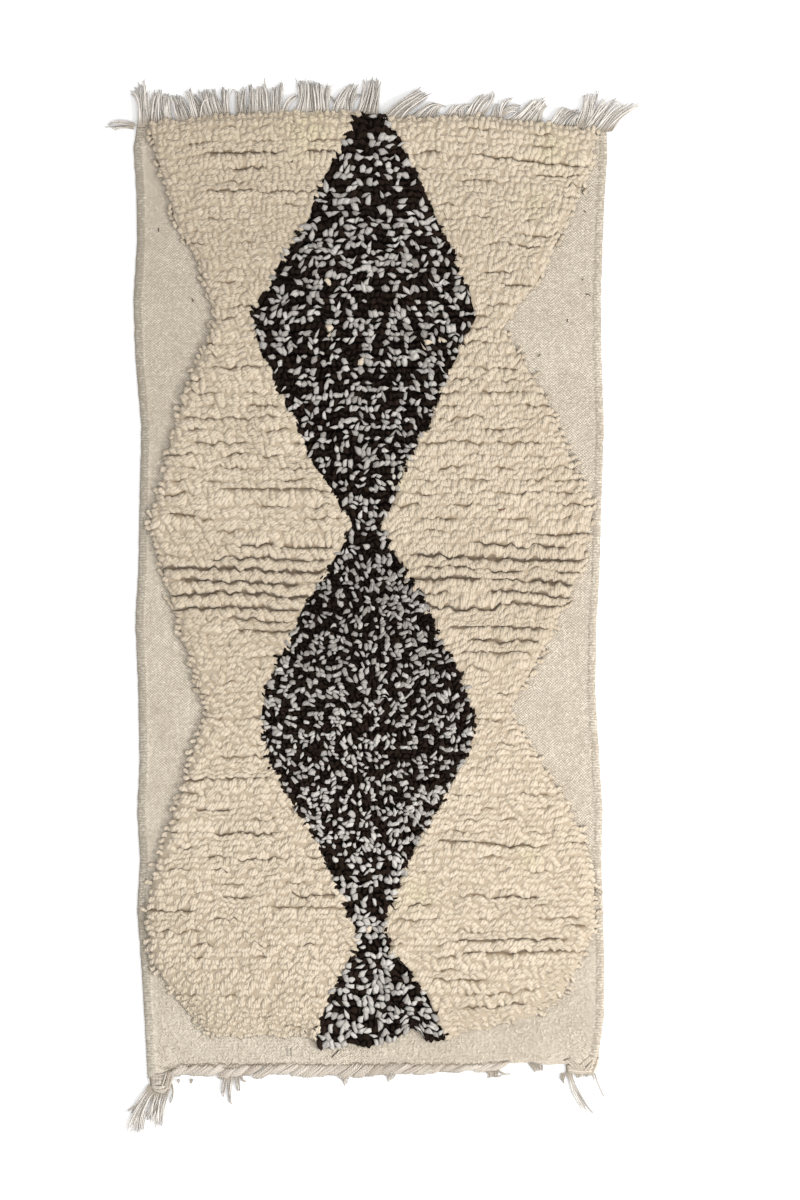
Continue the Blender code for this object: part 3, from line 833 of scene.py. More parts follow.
@dataclass(frozen=True)
class Tubes:
    """Many yarns of one make, swept along their paths as closed tubes."""

    sides: int = 5

    def sweep(self, paths: np.ndarray, girths: np.ndarray) -> tuple[np.ndarray, np.ndarray]:
        """Draws the yarns' rings.

        Args:
            paths: The yarns' middles, as yarn, ring, and x, y and z.
            girths: The yarns' radii, as yarn and ring.

        Returns:
            The points of the tubes and the same points on unbent yarns.
        """
        along = np.gradient(paths, axis=1)
        along /= np.linalg.norm(along, axis=2, keepdims=True)
        across = np.cross(along, np.array([0.0, 0.0, 1.0]))
        across /= np.maximum(np.linalg.norm(across, axis=2, keepdims=True), 1e-9)
        over = np.cross(across, along)
        turn = 2 * np.pi * np.arange(self.sides) / self.sides
        cos, sin = np.cos(turn), np.sin(turn)
        ring = across[:, :, None] * cos[:, None] + over[:, :, None] * sin[:, None]
        points = paths[:, :, None] + girths[:, :, None, None] * ring
        steps = np.linalg.norm(np.diff(paths, axis=1), axis=2)
        length = np.concatenate((np.zeros((len(paths), 1)), np.cumsum(steps, axis=1)), axis=1)
        unbent = np.empty(points.shape)
        unbent[..., 0] = girths[:, :, None] * sin
        unbent[..., 1] = girths[:, :, None] * cos
        unbent[..., 2] = length[:, :, None]
        count = len(paths)
        return points.reshape(count, -1, 3), unbent.reshape(count, -1, 3)

    def piece(
        self, name: str, paths: np.ndarray, girths: np.ndarray, tones: np.ndarray
    ) -> bpy.types.Object:
        """Makes one piece of many yarns.

        Args:
            name: The piece's name.
            paths: The yarns' middles, as yarn, ring, and x, y and z.
            girths: The yarns' radii, as yarn and ring.
            tones: Each yarn's own tone from 0 to 1.

        Returns:
            The piece.
        """
        points, unbent = self.sweep(paths, girths)
        faces = tube_faces(paths.shape[1], self.sides)
        return joined(name, points, unbent, tones, np.zeros(len(paths)), *faces)


def new_group(
    name: str, inputs: list[tuple[str, str]], outputs: list[tuple[str, str]]
) -> tuple[bpy.types.NodeTree, bpy.types.Node, bpy.types.Node]:
    """Starts a shader node group.

    Args:
        name: The group's name.
        inputs: The name and the socket type of each input.
        outputs: The name and the socket type of each output.

    Returns:
        The group, its input node and its output node.
    """
    group = bpy.data.node_groups.new(name, "ShaderNodeTree")
    for label, kind in inputs:
        group.interface.new_socket(name=label, in_out="INPUT", socket_type=kind)
    for label, kind in outputs:
        group.interface.new_socket(name=label, in_out="OUTPUT", socket_type=kind)
    return group, group.nodes.new("NodeGroupInput"), group.nodes.new("NodeGroupOutput")


@dataclass(frozen=True)
class Wiring:
    """Adds nodes to one node tree and links them."""

    tree: bpy.types.NodeTree

    def node(self, kind: str, inputs: dict[str | int, object], **settings: object) -> bpy.types.Node:
        """Adds a node.

        Args:
            kind: The node's type.
            inputs: A socket to link or a value to set, for each input by name or number.
            settings: The node's own settings.

        Returns:
            The node.
        """
        node = self.tree.nodes.new(kind)
        for label, value in settings.items():
            setattr(node, label, value)
        for label, value in inputs.items():
            if isinstance(value, bpy.types.NodeSocket):
                self.tree.links.new(value, node.inputs[label])
            else:
                node.inputs[label].default_value = value
        return node

    def maths(self, operation: str, *values: object) -> bpy.types.NodeSocket:
        """The result of a sum of one to three values, each a socket or a number."""
        node = self.node("ShaderNodeMath", dict(enumerate(values)), operation=operation)
        return node.outputs[0]

    def blend(self, share: object, low: object, high: object, kind: str = "MIX") -> bpy.types.NodeSocket:
        """A colour between two others.

        Args:
            share: How much of the second, as a socket or a number.
            low: The first colour.
            high: The second colour.
            kind: How the second is laid on the first.

        Returns:
            The blended colour.
        """
        inputs = {0: share, 6: low, 7: high}
        node = self.node("ShaderNodeMix", inputs, data_type="RGBA", blend_type=kind)
        return node.outputs[2]

    def attribute(self, name: str, output: str) -> bpy.types.NodeSocket:
        """A piece's own attribute."""
        return self.node("ShaderNodeAttribute", {}, attribute_name=name).outputs[output]

    def ramp(self, value: object, low: float, high: float) -> bpy.types.NodeSocket:
        """A soft step from 0 to 1 as a value goes from low to high."""
        inputs = {"Value": value, "From Min": low, "From Max": high}
        return self.node("ShaderNodeMapRange", inputs, interpolation_type="SMOOTHSTEP").outputs[0]

    def cloud(self, place: object, scale: float, detail: float = 2.0) -> bpy.types.NodeSocket:
        """A soft noise from 0 to 1."""
        inputs = {"Vector": place, "Scale": scale, "Detail": detail}
        return self.node("ShaderNodeTexNoise", inputs).outputs["Fac"]

    def group(self, name: str, inputs: dict[str, object]) -> bpy.types.NodeSocket:
        """The first output of a shared node group that is given its own values."""
        tree = bpy.data.node_groups[name]
        return self.node("ShaderNodeGroup", inputs, node_tree=tree).outputs[0]

    def shader(self, colour: bpy.types.NodeSocket, bump: bpy.types.Node, values: dict[str, float]) -> None:
        """Sets up the material's shader.

        Args:
            colour: Its colour.
            bump: The node that bends its normals.
            values: A value for each of its other inputs that is not left as it is.
        """
        shader = self.tree.nodes["Principled BSDF"]
        self.tree.links.new(colour, shader.inputs["Base Color"])
        self.tree.links.new(bump.outputs["Normal"], shader.inputs["Normal"])
        for label, value in values.items():
            shader.inputs[label].default_value = value


def wool_tone_group() -> bpy.types.NodeTree:
    """The colour of spun wool: its own tone, its patches and its stains, with painted shade at its root,
    sides, tip and cracks.

    Returns:
        The node group.
    """
    patch_scale, speck_scale, specks = 9.0, 420.0, 0.9
    cell_scale = (105.0, 135.0, 0.0)
    colours = [(label, "NodeSocketColor") for label in ("Light", "Dark", "Painted Shade", "Stained")]
    labels = ("Length", "Patches", "Half Width", "Side Shade", "Whole", "Painted Cracks")
    sizes = [(label, "NodeSocketFloat") for label in labels]
    group, entry, result = new_group("wool_tone", colours + sizes, [("Colour", "NodeSocketColor")])
    wires, given = Wiring(group), entry.outputs
    tone = wires.attribute("tone", "Fac")
    place = wires.node("ShaderNodeTexCoord", {}).outputs["Object"]
    tone = wires.maths("MULTIPLY_ADD", wires.cloud(place, patch_scale), given["Patches"], tone)
    tone = wires.maths("MULTIPLY_ADD", given["Patches"], -0.5, tone)
    tone = wires.maths("MULTIPLY_ADD", wires.cloud(place, speck_scale), specks, tone)
    tone = wires.maths("SUBTRACT", tone, specks / 2)
    colour = wires.blend(tone, given["Dark"], given["Light"])
    colour = wires.blend(wires.attribute("stain", "Fac"), colour, given["Stained"])
    yarn = wires.node("ShaderNodeSeparateXYZ", {0: wires.attribute("yarn", "Vector")}).outputs
    share = wires.maths("DIVIDE", yarn["Z"], given["Length"])
    # Painted shade: each yarn is drawn towards the painted shade colour near its root.
    colour = wires.blend(wires.ramp(share, 0.1, 0.9), given["Painted Shade"], colour)
    # Painted shade along the sides of each lock and at its tip.
    aside = wires.maths("DIVIDE", wires.maths("ABSOLUTE", yarn["Y"]), given["Half Width"])
    tip = wires.maths("DIVIDE", yarn["Z"], given["Whole"])
    edge = wires.maths("MAXIMUM", wires.ramp(aside, 0.54, 0.88), wires.ramp(tip, 0.78, 0.96))
    edge = wires.maths("MULTIPLY", edge, given["Side Shade"])
    # Painted cracks: a net of painted shade between cell-like lumps of wool.
    placed = wires.node("ShaderNodeMapping", {"Vector": place, "Scale": cell_scale})
    painted_cracks = {"Vector": placed.outputs[0], "Scale": 1.0}
    crack = wires.node("ShaderNodeTexVoronoi", painted_cracks, feature="DISTANCE_TO_EDGE").outputs["Distance"]
    crack = wires.maths("MULTIPLY", wires.ramp(crack, 0.16, 0.04), given["Painted Cracks"])
    colour = wires.blend(wires.maths("MAXIMUM", edge, crack), colour, given["Painted Shade"])
    group.links.new(colour, result.inputs["Colour"])
    return group


def yarn_relief_group() -> bpy.types.NodeTree:
    """The relief of a twisted yarn: its plies and its fibres, on the unbent yarn.

    Returns:
        The node group.
    """
    fibre_scale, stretch = 1500.0, 0.16
    inputs = [(label, "NodeSocketFloat") for label in ("Plies", "Turns", "Fibre")]
    group, entry, result = new_group("yarn_relief", inputs, [("Height", "NodeSocketFloat")])
    wires, given = Wiring(group), entry.outputs
    yarn = wires.attribute("yarn", "Vector")
    tone = wires.attribute("tone", "Fac")
    split = wires.node("ShaderNodeSeparateXYZ", {0: yarn}).outputs
    turn = wires.maths("MULTIPLY", wires.maths("ARCTAN2", split["Y"], split["X"]), given["Plies"])
    along = wires.maths("MULTIPLY", split["Z"], given["Turns"])
    ply = wires.maths("ABSOLUTE", wires.maths("SINE", wires.maths("ADD", turn, along)))
    drawn = wires.node("ShaderNodeMapping", {"Vector": yarn, "Scale": (1.0, 1.0, stretch)})
    apart = wires.node("ShaderNodeVectorMath", {0: drawn.outputs[0], 1: tone}, operation="ADD")
    fibre = wires.cloud(apart.outputs[0], fibre_scale, 3.0)
    height = wires.maths("MULTIPLY_ADD", fibre, given["Fibre"], ply)
    group.links.new(height, result.inputs["Height"])
    return group


@dataclass(frozen=True)
class Finish:
    """What a piece is made of: a material of its own."""

    name: str
    slot: str

    def wire(self, wires: Wiring) -> None:
        """Adds the material's nodes, which each kind of finish does in its own way.

        Args:
            wires: The wiring of the material, whose shader is in place.
        """
        raise NotImplementedError(self.name)

    def material(self) -> bpy.types.Material:
        """Makes the material, or finds it if it was made before.

        Returns:
            The material.
        """
        if self.name in bpy.data.materials:
            return bpy.data.materials[self.name]
        made = bpy.data.materials.new(self.name)
        made.use_nodes = True
        self.wire(Wiring(made.node_tree))
        return made

    def dress(self, piece: bpy.types.Object) -> None:
        """Gives a piece this finish.

        Args:
            piece: The piece.
        """
        piece.data.materials.clear()
        piece.data.materials.append(self.material())


@dataclass(frozen=True)
class WoolFinish(Finish):
    """Matt spun wool, for locks and yarns that carry their unbent places."""

    light: Colour
    dark: Colour
    # root is the painted shade colour: the wool is drawn towards it near the root, along the sides, at the
    # tip and in the painted cracks.
    root: Colour
    stained: Colour
    # length, half_width, side_shade and whole set how far the painted shade reaches from the root, in from
    # the sides and back from the tip.
    length: float = 0.012
    half_width: float = 0.0046
    side_shade: float = 0.6
    whole: float = 1.0
    painted_cracks: float = 0.0
    patches: float = 0.6
    plies: float = 1.5
    turns: float = 420.0
    fibre: float = 0.8
    relief: float = 0.0009
    sheen: float = 0.25
    sheen_roughness: float = 0.6
    specular: float = 0.15
    roughness: float = 0.95

    def wire(self, wires: Wiring) -> None:
        """Adds the nodes of spun wool.

        Args:
            wires: The wiring of the material, whose shader is in place.
        """
        colours = {"Light": self.light, "Dark": self.dark, "Painted Shade": self.root, "Stained": self.stained}
        tones: dict[str, object] = {label: (*colour, 1.0) for label, colour in colours.items()}
        tones |= {"Length": self.length, "Patches": self.patches, "Half Width": self.half_width}
        tones |= {"Side Shade": self.side_shade, "Whole": self.whole, "Painted Cracks": self.painted_cracks}
        plies = {"Plies": self.plies, "Turns": self.turns, "Fibre": self.fibre}
        height = wires.group("yarn_relief", plies)
        lumpy = {"Height": height, "Distance": self.relief, "Strength": 1.0}
        values = {
            "Roughness": self.roughness,
            "Specular IOR Level": self.specular,
            "Sheen Weight": self.sheen,
            "Sheen Roughness": self.sheen_roughness,
        }
        wires.shader(wires.group("wool_tone", tones), wires.node("ShaderNodeBump", lumpy), values)


CREAM_WOOL = WoolFinish(
    name="cream_wool_locks",
    slot="cream_wool",
    light=(0.600, 0.511, 0.396),
    dark=(0.474, 0.396, 0.295),
    root=(0.385, 0.305, 0.210),
    stained=(0.53, 0.47, 0.30),
    length=0.0075,
    side_shade=0.30,
    whole=0.0292,
)
# The bed's felt has a darker painted shade colour for its deep creases, and painted cracks.
CREAM_FELT = replace(CREAM_WOOL, name="cream_wool_felt", root=(0.25, 0.182, 0.112), painted_cracks=0.30)
BLACK_WOOL = WoolFinish(
    name="black_wool_locks",
    slot="black_wool",
    light=(0.021, 0.0125, 0.009),
    dark=(0.008, 0.0055, 0.004),
    root=(0.003, 0.002, 0.0017),
    stained=(0.014, 0.007, 0.005),
    sheen=0.0,
    specular=0.05,
)
WHITE_WOOL = WoolFinish(
    name="white_wool_locks",
    slot="white_wool",
    light=(0.52, 0.495, 0.460),
    dark=(0.24, 0.220, 0.200),
    root=(0.09, 0.075, 0.062),
    stained=(0.62, 0.58, 0.47),
    length=0.0065,
    half_width=0.0042,
    side_shade=0.48,
    whole=0.0190,
)
WARP_YARN = WoolFinish(
    name="warp_yarn_ends",
    slot="warp_yarn",
    light=(0.84, 0.79, 0.73),
    dark=(0.25, 0.225, 0.195),
    root=(0.36, 0.31, 0.25),
    stained=(0.74, 0.68, 0.61),
    length=0.026,
    half_width=0.0013,
    side_shade=0.65,
    plies=1.0,
    turns=900.0,
    relief=0.0005,
)
PLAIT_YARN = WoolFinish(
    name="plait_yarn",
    slot="warp_yarn",
    light=(0.610, 0.550, 0.475),
    dark=(0.37, 0.315, 0.255),
    root=(0.30, 0.235, 0.165),
    stained=(0.74, 0.68, 0.61),
    length=0.006,
    half_width=0.0018,
    side_shade=0.5,
    plies=1.0,
    turns=700.0,
    relief=0.0006,
)
FUZZ_WOOL = WoolFinish(
    name="cloth_fuzz_wool",
    slot="ground_wool",
    light=(0.80, 0.725, 0.605),
    dark=(0.62, 0.540, 0.430),
    root=(0.62, 0.550, 0.450),
    stained=(0.53, 0.47, 0.30),
    length=0.004,
    half_width=0.0009,
    side_shade=0.25,
    relief=0.0001,
)
STITCH_YARN = replace(PLAIT_YARN, name="stitch_yarn", light=(0.34, 0.26, 0.18), dark=(0.17, 0.13, 0.09))
CORNER_YARN = replace(PLAIT_YARN, name="corner_yarn", light=(0.60, 0.53, 0.43), side_shade=0.25)
HAIR = WoolFinish(
    name="dark_hair",
    slot="black_wool",
    light=(0.05, 0.035, 0.025),
    dark=(0.015, 0.010, 0.008),
    root=(0.02, 0.014, 0.010),
    stained=(0.05, 0.035, 0.025),
    sheen=0.0,
)
RED_THREAD = WoolFinish(
    name="red_brown_thread",
    slot="cream_wool",
    light=(0.30, 0.085, 0.060),
    dark=(0.24, 0.065, 0.045),
    root=(0.24, 0.065, 0.045),
    stained=(0.30, 0.085, 0.060),
    sheen=0.0,
)


@dataclass(frozen=True)
class WeaveFinish(Finish):
    """Flat-woven wool, whose ribs are in its mesh and whose fibres and stains are in its material, with
    painted shade in its hollows and on its cords, and painted light and shade across it.
    """

    name: str = "flat_woven_wool"
    slot: str = "ground_wool"
    light: Colour = (0.715, 0.649, 0.545)
    dark: Colour = (0.412, 0.353, 0.281)
    # shadow is the painted shadow colour laid on the selvedge cords; cord_shade sets how dark it gets.
    shadow: Colour = (0.12, 0.12, 0.10)
    weft_scale: float = 300.0
    weft_stretch: float = 0.55
    # The next sets the painted shade in the hollows between the wefts, where the bump is low.
    weft_painted_shade: float = 0.6
    warp_turns: float = 1300.0
    weft_turns: float = 1450.0
    # The next two set how strong the painted light and shade of the crossing threads is.
    weave_contrast: float = 1.15
    cord_contrast: float = 0.30
    cord_shade: float = 0.32
    patch_scale: float = 14.0
    patches: float = 0.55
    mottle_scale: float = 130.0
    mottle: float = 0.9
    contrast: float = 1.6
    shake_scale: float = 60.0
    shake: float = 0.006
    fibre_scale: float = 900.0
    grain_scale: float = 240.0
    grain: float = 2.6
    relief: float = 0.0019

    def threads(self, wires: Wiring, place: bpy.types.NodeSocket) -> bpy.types.NodeSocket:
        """The painted light and shade of the crossing threads: diamonds on the cloth, and ribs on its
        selvedges.

        Args:
            wires: The material's wiring.
            place: The place on the cloth.

        Returns:
            What the threads add to the cloth's tone.
        """
        inputs = {"Vector": place, "Scale": self.shake_scale, "Detail": 1.0}
        noisy = wires.node("ShaderNodeTexNoise", inputs).outputs["Color"]
        inputs = {0: noisy, 1: (self.shake, self.shake, 0.0)}
        moved = wires.node("ShaderNodeVectorMath", inputs, operation="MULTIPLY").outputs[0]
        moved = wires.node("ShaderNodeVectorMath", {0: place, 1: moved}, operation="ADD").outputs[0]
        axes = wires.node("ShaderNodeSeparateXYZ", {0: moved}).outputs
        across = wires.maths("SINE", wires.maths("MULTIPLY", axes["X"], self.warp_turns))
        upward = wires.maths("SINE", wires.maths("MULTIPLY", axes["Y"], self.weft_turns))
        banded = wires.maths("GREATER_THAN", wires.attribute("cord", "Fac"), 0.1)
        diamond = wires.maths("MULTIPLY", wires.maths("MULTIPLY", across, upward), self.weave_contrast)
        ribbed = wires.maths("MULTIPLY", upward, self.cord_contrast)
        ribbed = wires.maths("MULTIPLY", banded, wires.maths("SUBTRACT", ribbed, diamond))
        return wires.maths("ADD", diamond, ribbed)

    def wire(self, wires: Wiring) -> None:
        """Adds the nodes of woven wool.

        Args:
            wires: The wiring of the material, whose shader is in place.
        """
        place = wires.node("ShaderNodeTexCoord", {}).outputs["Object"]
        scale = (self.weft_stretch, 1.0, 1.0)
        drawn = wires.node("ShaderNodeMapping", {"Vector": place, "Scale": scale}).outputs[0]
        inputs = {"Vector": drawn, "Scale": self.weft_scale, "Randomness": 0.75}
        weft = wires.node("ShaderNodeTexVoronoi", inputs).outputs["Distance"]
        middle = (1 - self.patches) / 2
        tone = wires.maths("MULTIPLY_ADD", wires.cloud(place, self.patch_scale, 4.0), self.patches, middle)
        tone = wires.maths("MULTIPLY_ADD", wires.cloud(place, self.mottle_scale), self.mottle, tone)
        tone = wires.maths("MULTIPLY_ADD", tone, self.contrast, -1.0)
        grain = wires.maths("SUBTRACT", wires.cloud(place, self.grain_scale), 0.5)
        tone = wires.maths("MULTIPLY_ADD", grain, self.grain, tone)
        # Painted shade in the hollows between the wefts.
        tone = wires.maths("SUBTRACT", tone, wires.maths("MULTIPLY", weft, self.weft_painted_shade))
        # Painted light and shade of the crossing threads.
        tone = wires.maths("ADD", tone, self.threads(wires, place))
        # Painted light at the foot and painted shade at the upper left, from the cloth's attribute.
        tone = wires.maths("ADD", tone, wires.attribute("painted_light", "Fac"))
        colour = wires.blend(tone, (*self.dark, 1.0), (*self.light, 1.0))
        # Painted shadow on the selvedge cords, strongest on the left one.
        cord = wires.attribute("cord", "Fac")
        shade = wires.maths("MULTIPLY", wires.maths("MULTIPLY", cord, cord), self.cord_shade)
        colour = wires.blend(shade, colour, (*self.shadow, 1.0))
        height = wires.maths("MULTIPLY_ADD", weft, -1.2, wires.cloud(place, self.fibre_scale))
        lumpy = {"Height": height, "Distance": self.relief, "Strength": 0.8}
        values = {"Roughness": 0.96, "Specular IOR Level": 0.15, "Sheen Weight": 0.15}
        wires.shader(colour, wires.node("ShaderNodeBump", lumpy), values)


@dataclass(frozen=True)
class Creases:
    """The creases between the rows of knots, drawn at even stations across the rug."""

    first: float
    step: float
    offsets: np.ndarray
    gaps: np.ndarray

    def read(self, values: np.ndarray, x: np.ndarray, row: np.ndarray) -> np.ndarray:
        """Reads what is drawn of a row's crease between its stations.

        Args:
            values: The offsets or the gaps.
            x: Places across the rug.
            row: The crease's number at each.

        Returns:
            The values there.
        """
        station = np.clip((x - self.first) / self.step, 0, values.shape[1] - 1.001)
        number = station.astype(int)
        share = station - number
        return values[row, number] * (1 - share) + values[row, number + 1] * share


@dataclass(frozen=True)
class Pile:
    """The field of the knotted pile: its extent, its height, its rows and how it parts."""

    foot: float = -0.717
    head: float = 0.7955
    rows: int = 74
    top: float = 0.0160
    lumps: float = 0.0017
    lump_size: float = 0.045
    row_wave: float = 0.0030
    row_wave_size: float = 0.070
    wobble: float = 0.0056
    wobble_size: float = 0.020
    fray: float = 0.0056
    fray_size: float = 0.009
    closed_gap: float = -0.0085
    open_gap: float = -0.0026
    open_share: float = 0.30
    open_swing: float = 2.2
    open_size: float = 0.050
    lined_gap: float = 0.22
    stray_gap: float = 0.0010
    stray_gap_size: float = 0.012
    parting_gap: float = -0.0022
    parting_share: float = 0.80
    rounding: float = 0.0028
    rim_drop: float = 0.0088
    rim_width: float = 0.022
    foot_drop: float = 0.0090
    foot_width: float = 0.075
    least: float = 0.0068
    head_reach: float = 0.0030
    shift_rows: float = 3.0
    low_from: float = -0.56
    fade: float = 0.022
    furthest: float = 0.0075
    felt_reach: float = 0.0030
    seam_step: float = 0.0060
    seam_run: float = 0.37
    lined: float = 0.62
    stations: int = 241
    half_width: float = 0.400

    @property
    def pitch(self) -> float:
        """From one row of knots to the next."""
        return (self.head - self.foot) / self.rows

    @cached_property
    def creases(self) -> Creases:
        """Draws the creases, which wander, close and open, and follow the partings near them.

        Returns:
            The creases.
        """
        x = np.linspace(-self.half_width, self.half_width, self.stations)
        straight = self.foot + self.pitch * np.arange(self.rows + 1)
        wide, high = np.meshgrid(x, straight)
        wobble = self.wobble * uneven(wide, 3 * high, self.wobble_size, 6.0)
        wobble += self.fray * uneven(wide, 3 * high, self.fray_size, 9.0)
        offsets = self.row_wave * uneven(wide, high, self.row_wave_size, 5.0)
        lined = column(LINES, high, "open")
        swing = self.open_swing * uneven(wide, 2 * high, self.open_size, 3.0)
        share = self.open_share + self.lined * lined + swing
        share = np.clip(share, 0, 1 + self.lined_gap * np.sqrt(lined))
        gaps = self.closed_gap + (self.open_gap - self.closed_gap) * share
        for parting in PARTINGS:
            middle = (parting.start + parting.end) / 2
            heights = (parting.y_start, parting.y_middle, parting.y_end)
            line = np.interp(x, (parting.start, middle, parting.end), heights)
            line = line - LOOM.bow(x, line)
            row = round((float(np.interp(middle, x, line)) - self.foot) / self.pitch)
            inside = np.minimum(x - parting.start, parting.end - x)
            weight = np.clip(inside / self.fade + 0.6, 0, 1)
            offsets[row] += weight * (line - straight[row] - offsets[row])
            gap = self.parting_gap + self.parting_share * parting.width
            gaps[row] = np.maximum(gaps[row], weight * gap + (1 - weight) * self.closed_gap)
        gaps = gaps + self.stray_gap * uneven(wide, 3 * high, self.stray_gap_size, 7.0)
        offsets = np.clip(offsets + wobble, -self.furthest, self.furthest)
        return Creases(float(x[0]), float(x[1] - x[0]), offsets, gaps)

    def row_of(self, y: np.ndarray) -> np.ndarray:
        """The number of the row that holds a place on the loom."""
        return np.clip(np.floor((y - self.foot) / self.pitch), 0, self.rows - 1).astype(int)

    def warp(self, x: np.ndarray, y: np.ndarray) -> np.ndarray:
        """Moves places in straight rows to where the rows wander.

        Args:
            x: Places across the rug.
            y: Places up the rug, in straight rows.

        Returns:
            The places up the rug.
        """
        row = self.row_of(y)
        share = (y - self.foot) / self.pitch - row
        below = self.creases.read(self.creases.offsets, x, row)
        above = self.creases.read(self.creases.offsets, x, row + 1)
        reach = self.shift_rows * self.pitch
        at_foot = np.clip(1 - (y - self.foot) / reach, 0, 1) * column(REACHES, x, "foot")
        reached = column(REACHES, x, "head") + self.head_reach
        at_head = np.clip(1 - (self.head - y) / reach, 0, 1) * reached
        return y + below * (1 - share) + above * share + at_foot + at_head

    def gap(self, x: np.ndarray, row: np.ndarray) -> np.ndarray:
        """How wide a crease stands open, or how far the locks reach across it where it is below 0."""
        return self.creases.read(self.creases.gaps, x, row)

    def sides(self, y: np.ndarray) -> tuple[np.ndarray, np.ndarray]:
        """The pile's left and right rim at places up the rug."""
        return column(LEFT_RIM, y, "x"), column(RIGHT_RIM, y, "x")

    def seams(self, y: np.ndarray) -> tuple[np.ndarray, np.ndarray]:
        """The lozenges' edges, which step from one line of knots to the next.

        Args:
            y: Places up the rug.

        Returns:
            Their left and their right edge there.
        """
        line = self.seam_run * np.floor(2 * (y - self.foot) / self.pitch)
        left = self.seam_step * uneven(line, 0 * y, 1.0, 31.0)
        right = self.seam_step * uneven(line, 0 * y, 1.0, 32.0)
        return column(LOZENGES, y, "left") + left, column(LOZENGES, y, "right") + right

    def crown(self, x: np.ndarray, y: np.ndarray) -> np.ndarray:
        """The height of the pile's top, before it parts.

        Args:
            x: Places across the rug.
            y: Places up the rug, in straight rows.

        Returns:
            The height at each, which falls towards the rims and the foot.
        """
        height = self.top + self.lumps * uneven(x, y, self.lump_size)
        left, right = self.sides(y)
        inside = np.minimum(x - left, right - x)
        outer = np.clip(1 - np.minimum(inside, self.head - y + 0.002) / self.rim_width, 0, 1)
        seam_left, seam_right = column(LOZENGES, y, "left"), column(LOZENGES, y, "right")
        beside = np.maximum(seam_left - x, x - seam_right)
        near = np.minimum(0.55 * inside, y - self.foot + 0.004) / self.foot_width
        low = np.clip(beside / 0.02, 0.25, 1) * np.clip(1 - near, 0, 1)
        low = low * np.clip((self.low_from - y) / 0.08, 0, 1)
        return np.maximum(height - self.rim_drop * outer**1.5 - self.foot_drop * low**1.5, self.least)

    def sag(self, x: np.ndarray, y: np.ndarray, row: np.ndarray) -> np.ndarray:
        """How strongly a place lies in a crease.

        Args:
            x: Places across the rug.
            y: Places up the rug, in straight rows.
            row: The row that each belongs to.

        Returns:
            The width of the crease that is felt there.
        """
        felt = np.zeros(np.shape(x))
        for edge in (0, 1):
            away = np.abs(y - self.foot - self.pitch * (row + edge))
            gap = self.gap(x, row + edge)
            away = np.maximum(away - np.maximum(gap, 0) / 2, 0)
            near = np.clip(1 - away / self.felt_reach, 0, 1)
            felt = np.maximum(felt, np.maximum(gap + self.rounding, 0) * near**1.5)
        return felt


PILE = Pile()


@dataclass(frozen=True)
class Knots:
    """The places of all the locks of the pile in straight rows, with what is known of each."""

    x: np.ndarray
    y: np.ndarray
    row: np.ndarray
    turn: np.ndarray
    yarn: np.ndarray
    rim: np.ndarray
    length: np.ndarray
    width: np.ndarray

    def pick(self, mask: np.ndarray) -> "Knots":
        """The knots that a mask marks."""
        fields = (self.x, self.y, self.row, self.turn, self.yarn, self.rim, self.length, self.width)
        return Knots(*(values[mask] for values in fields))


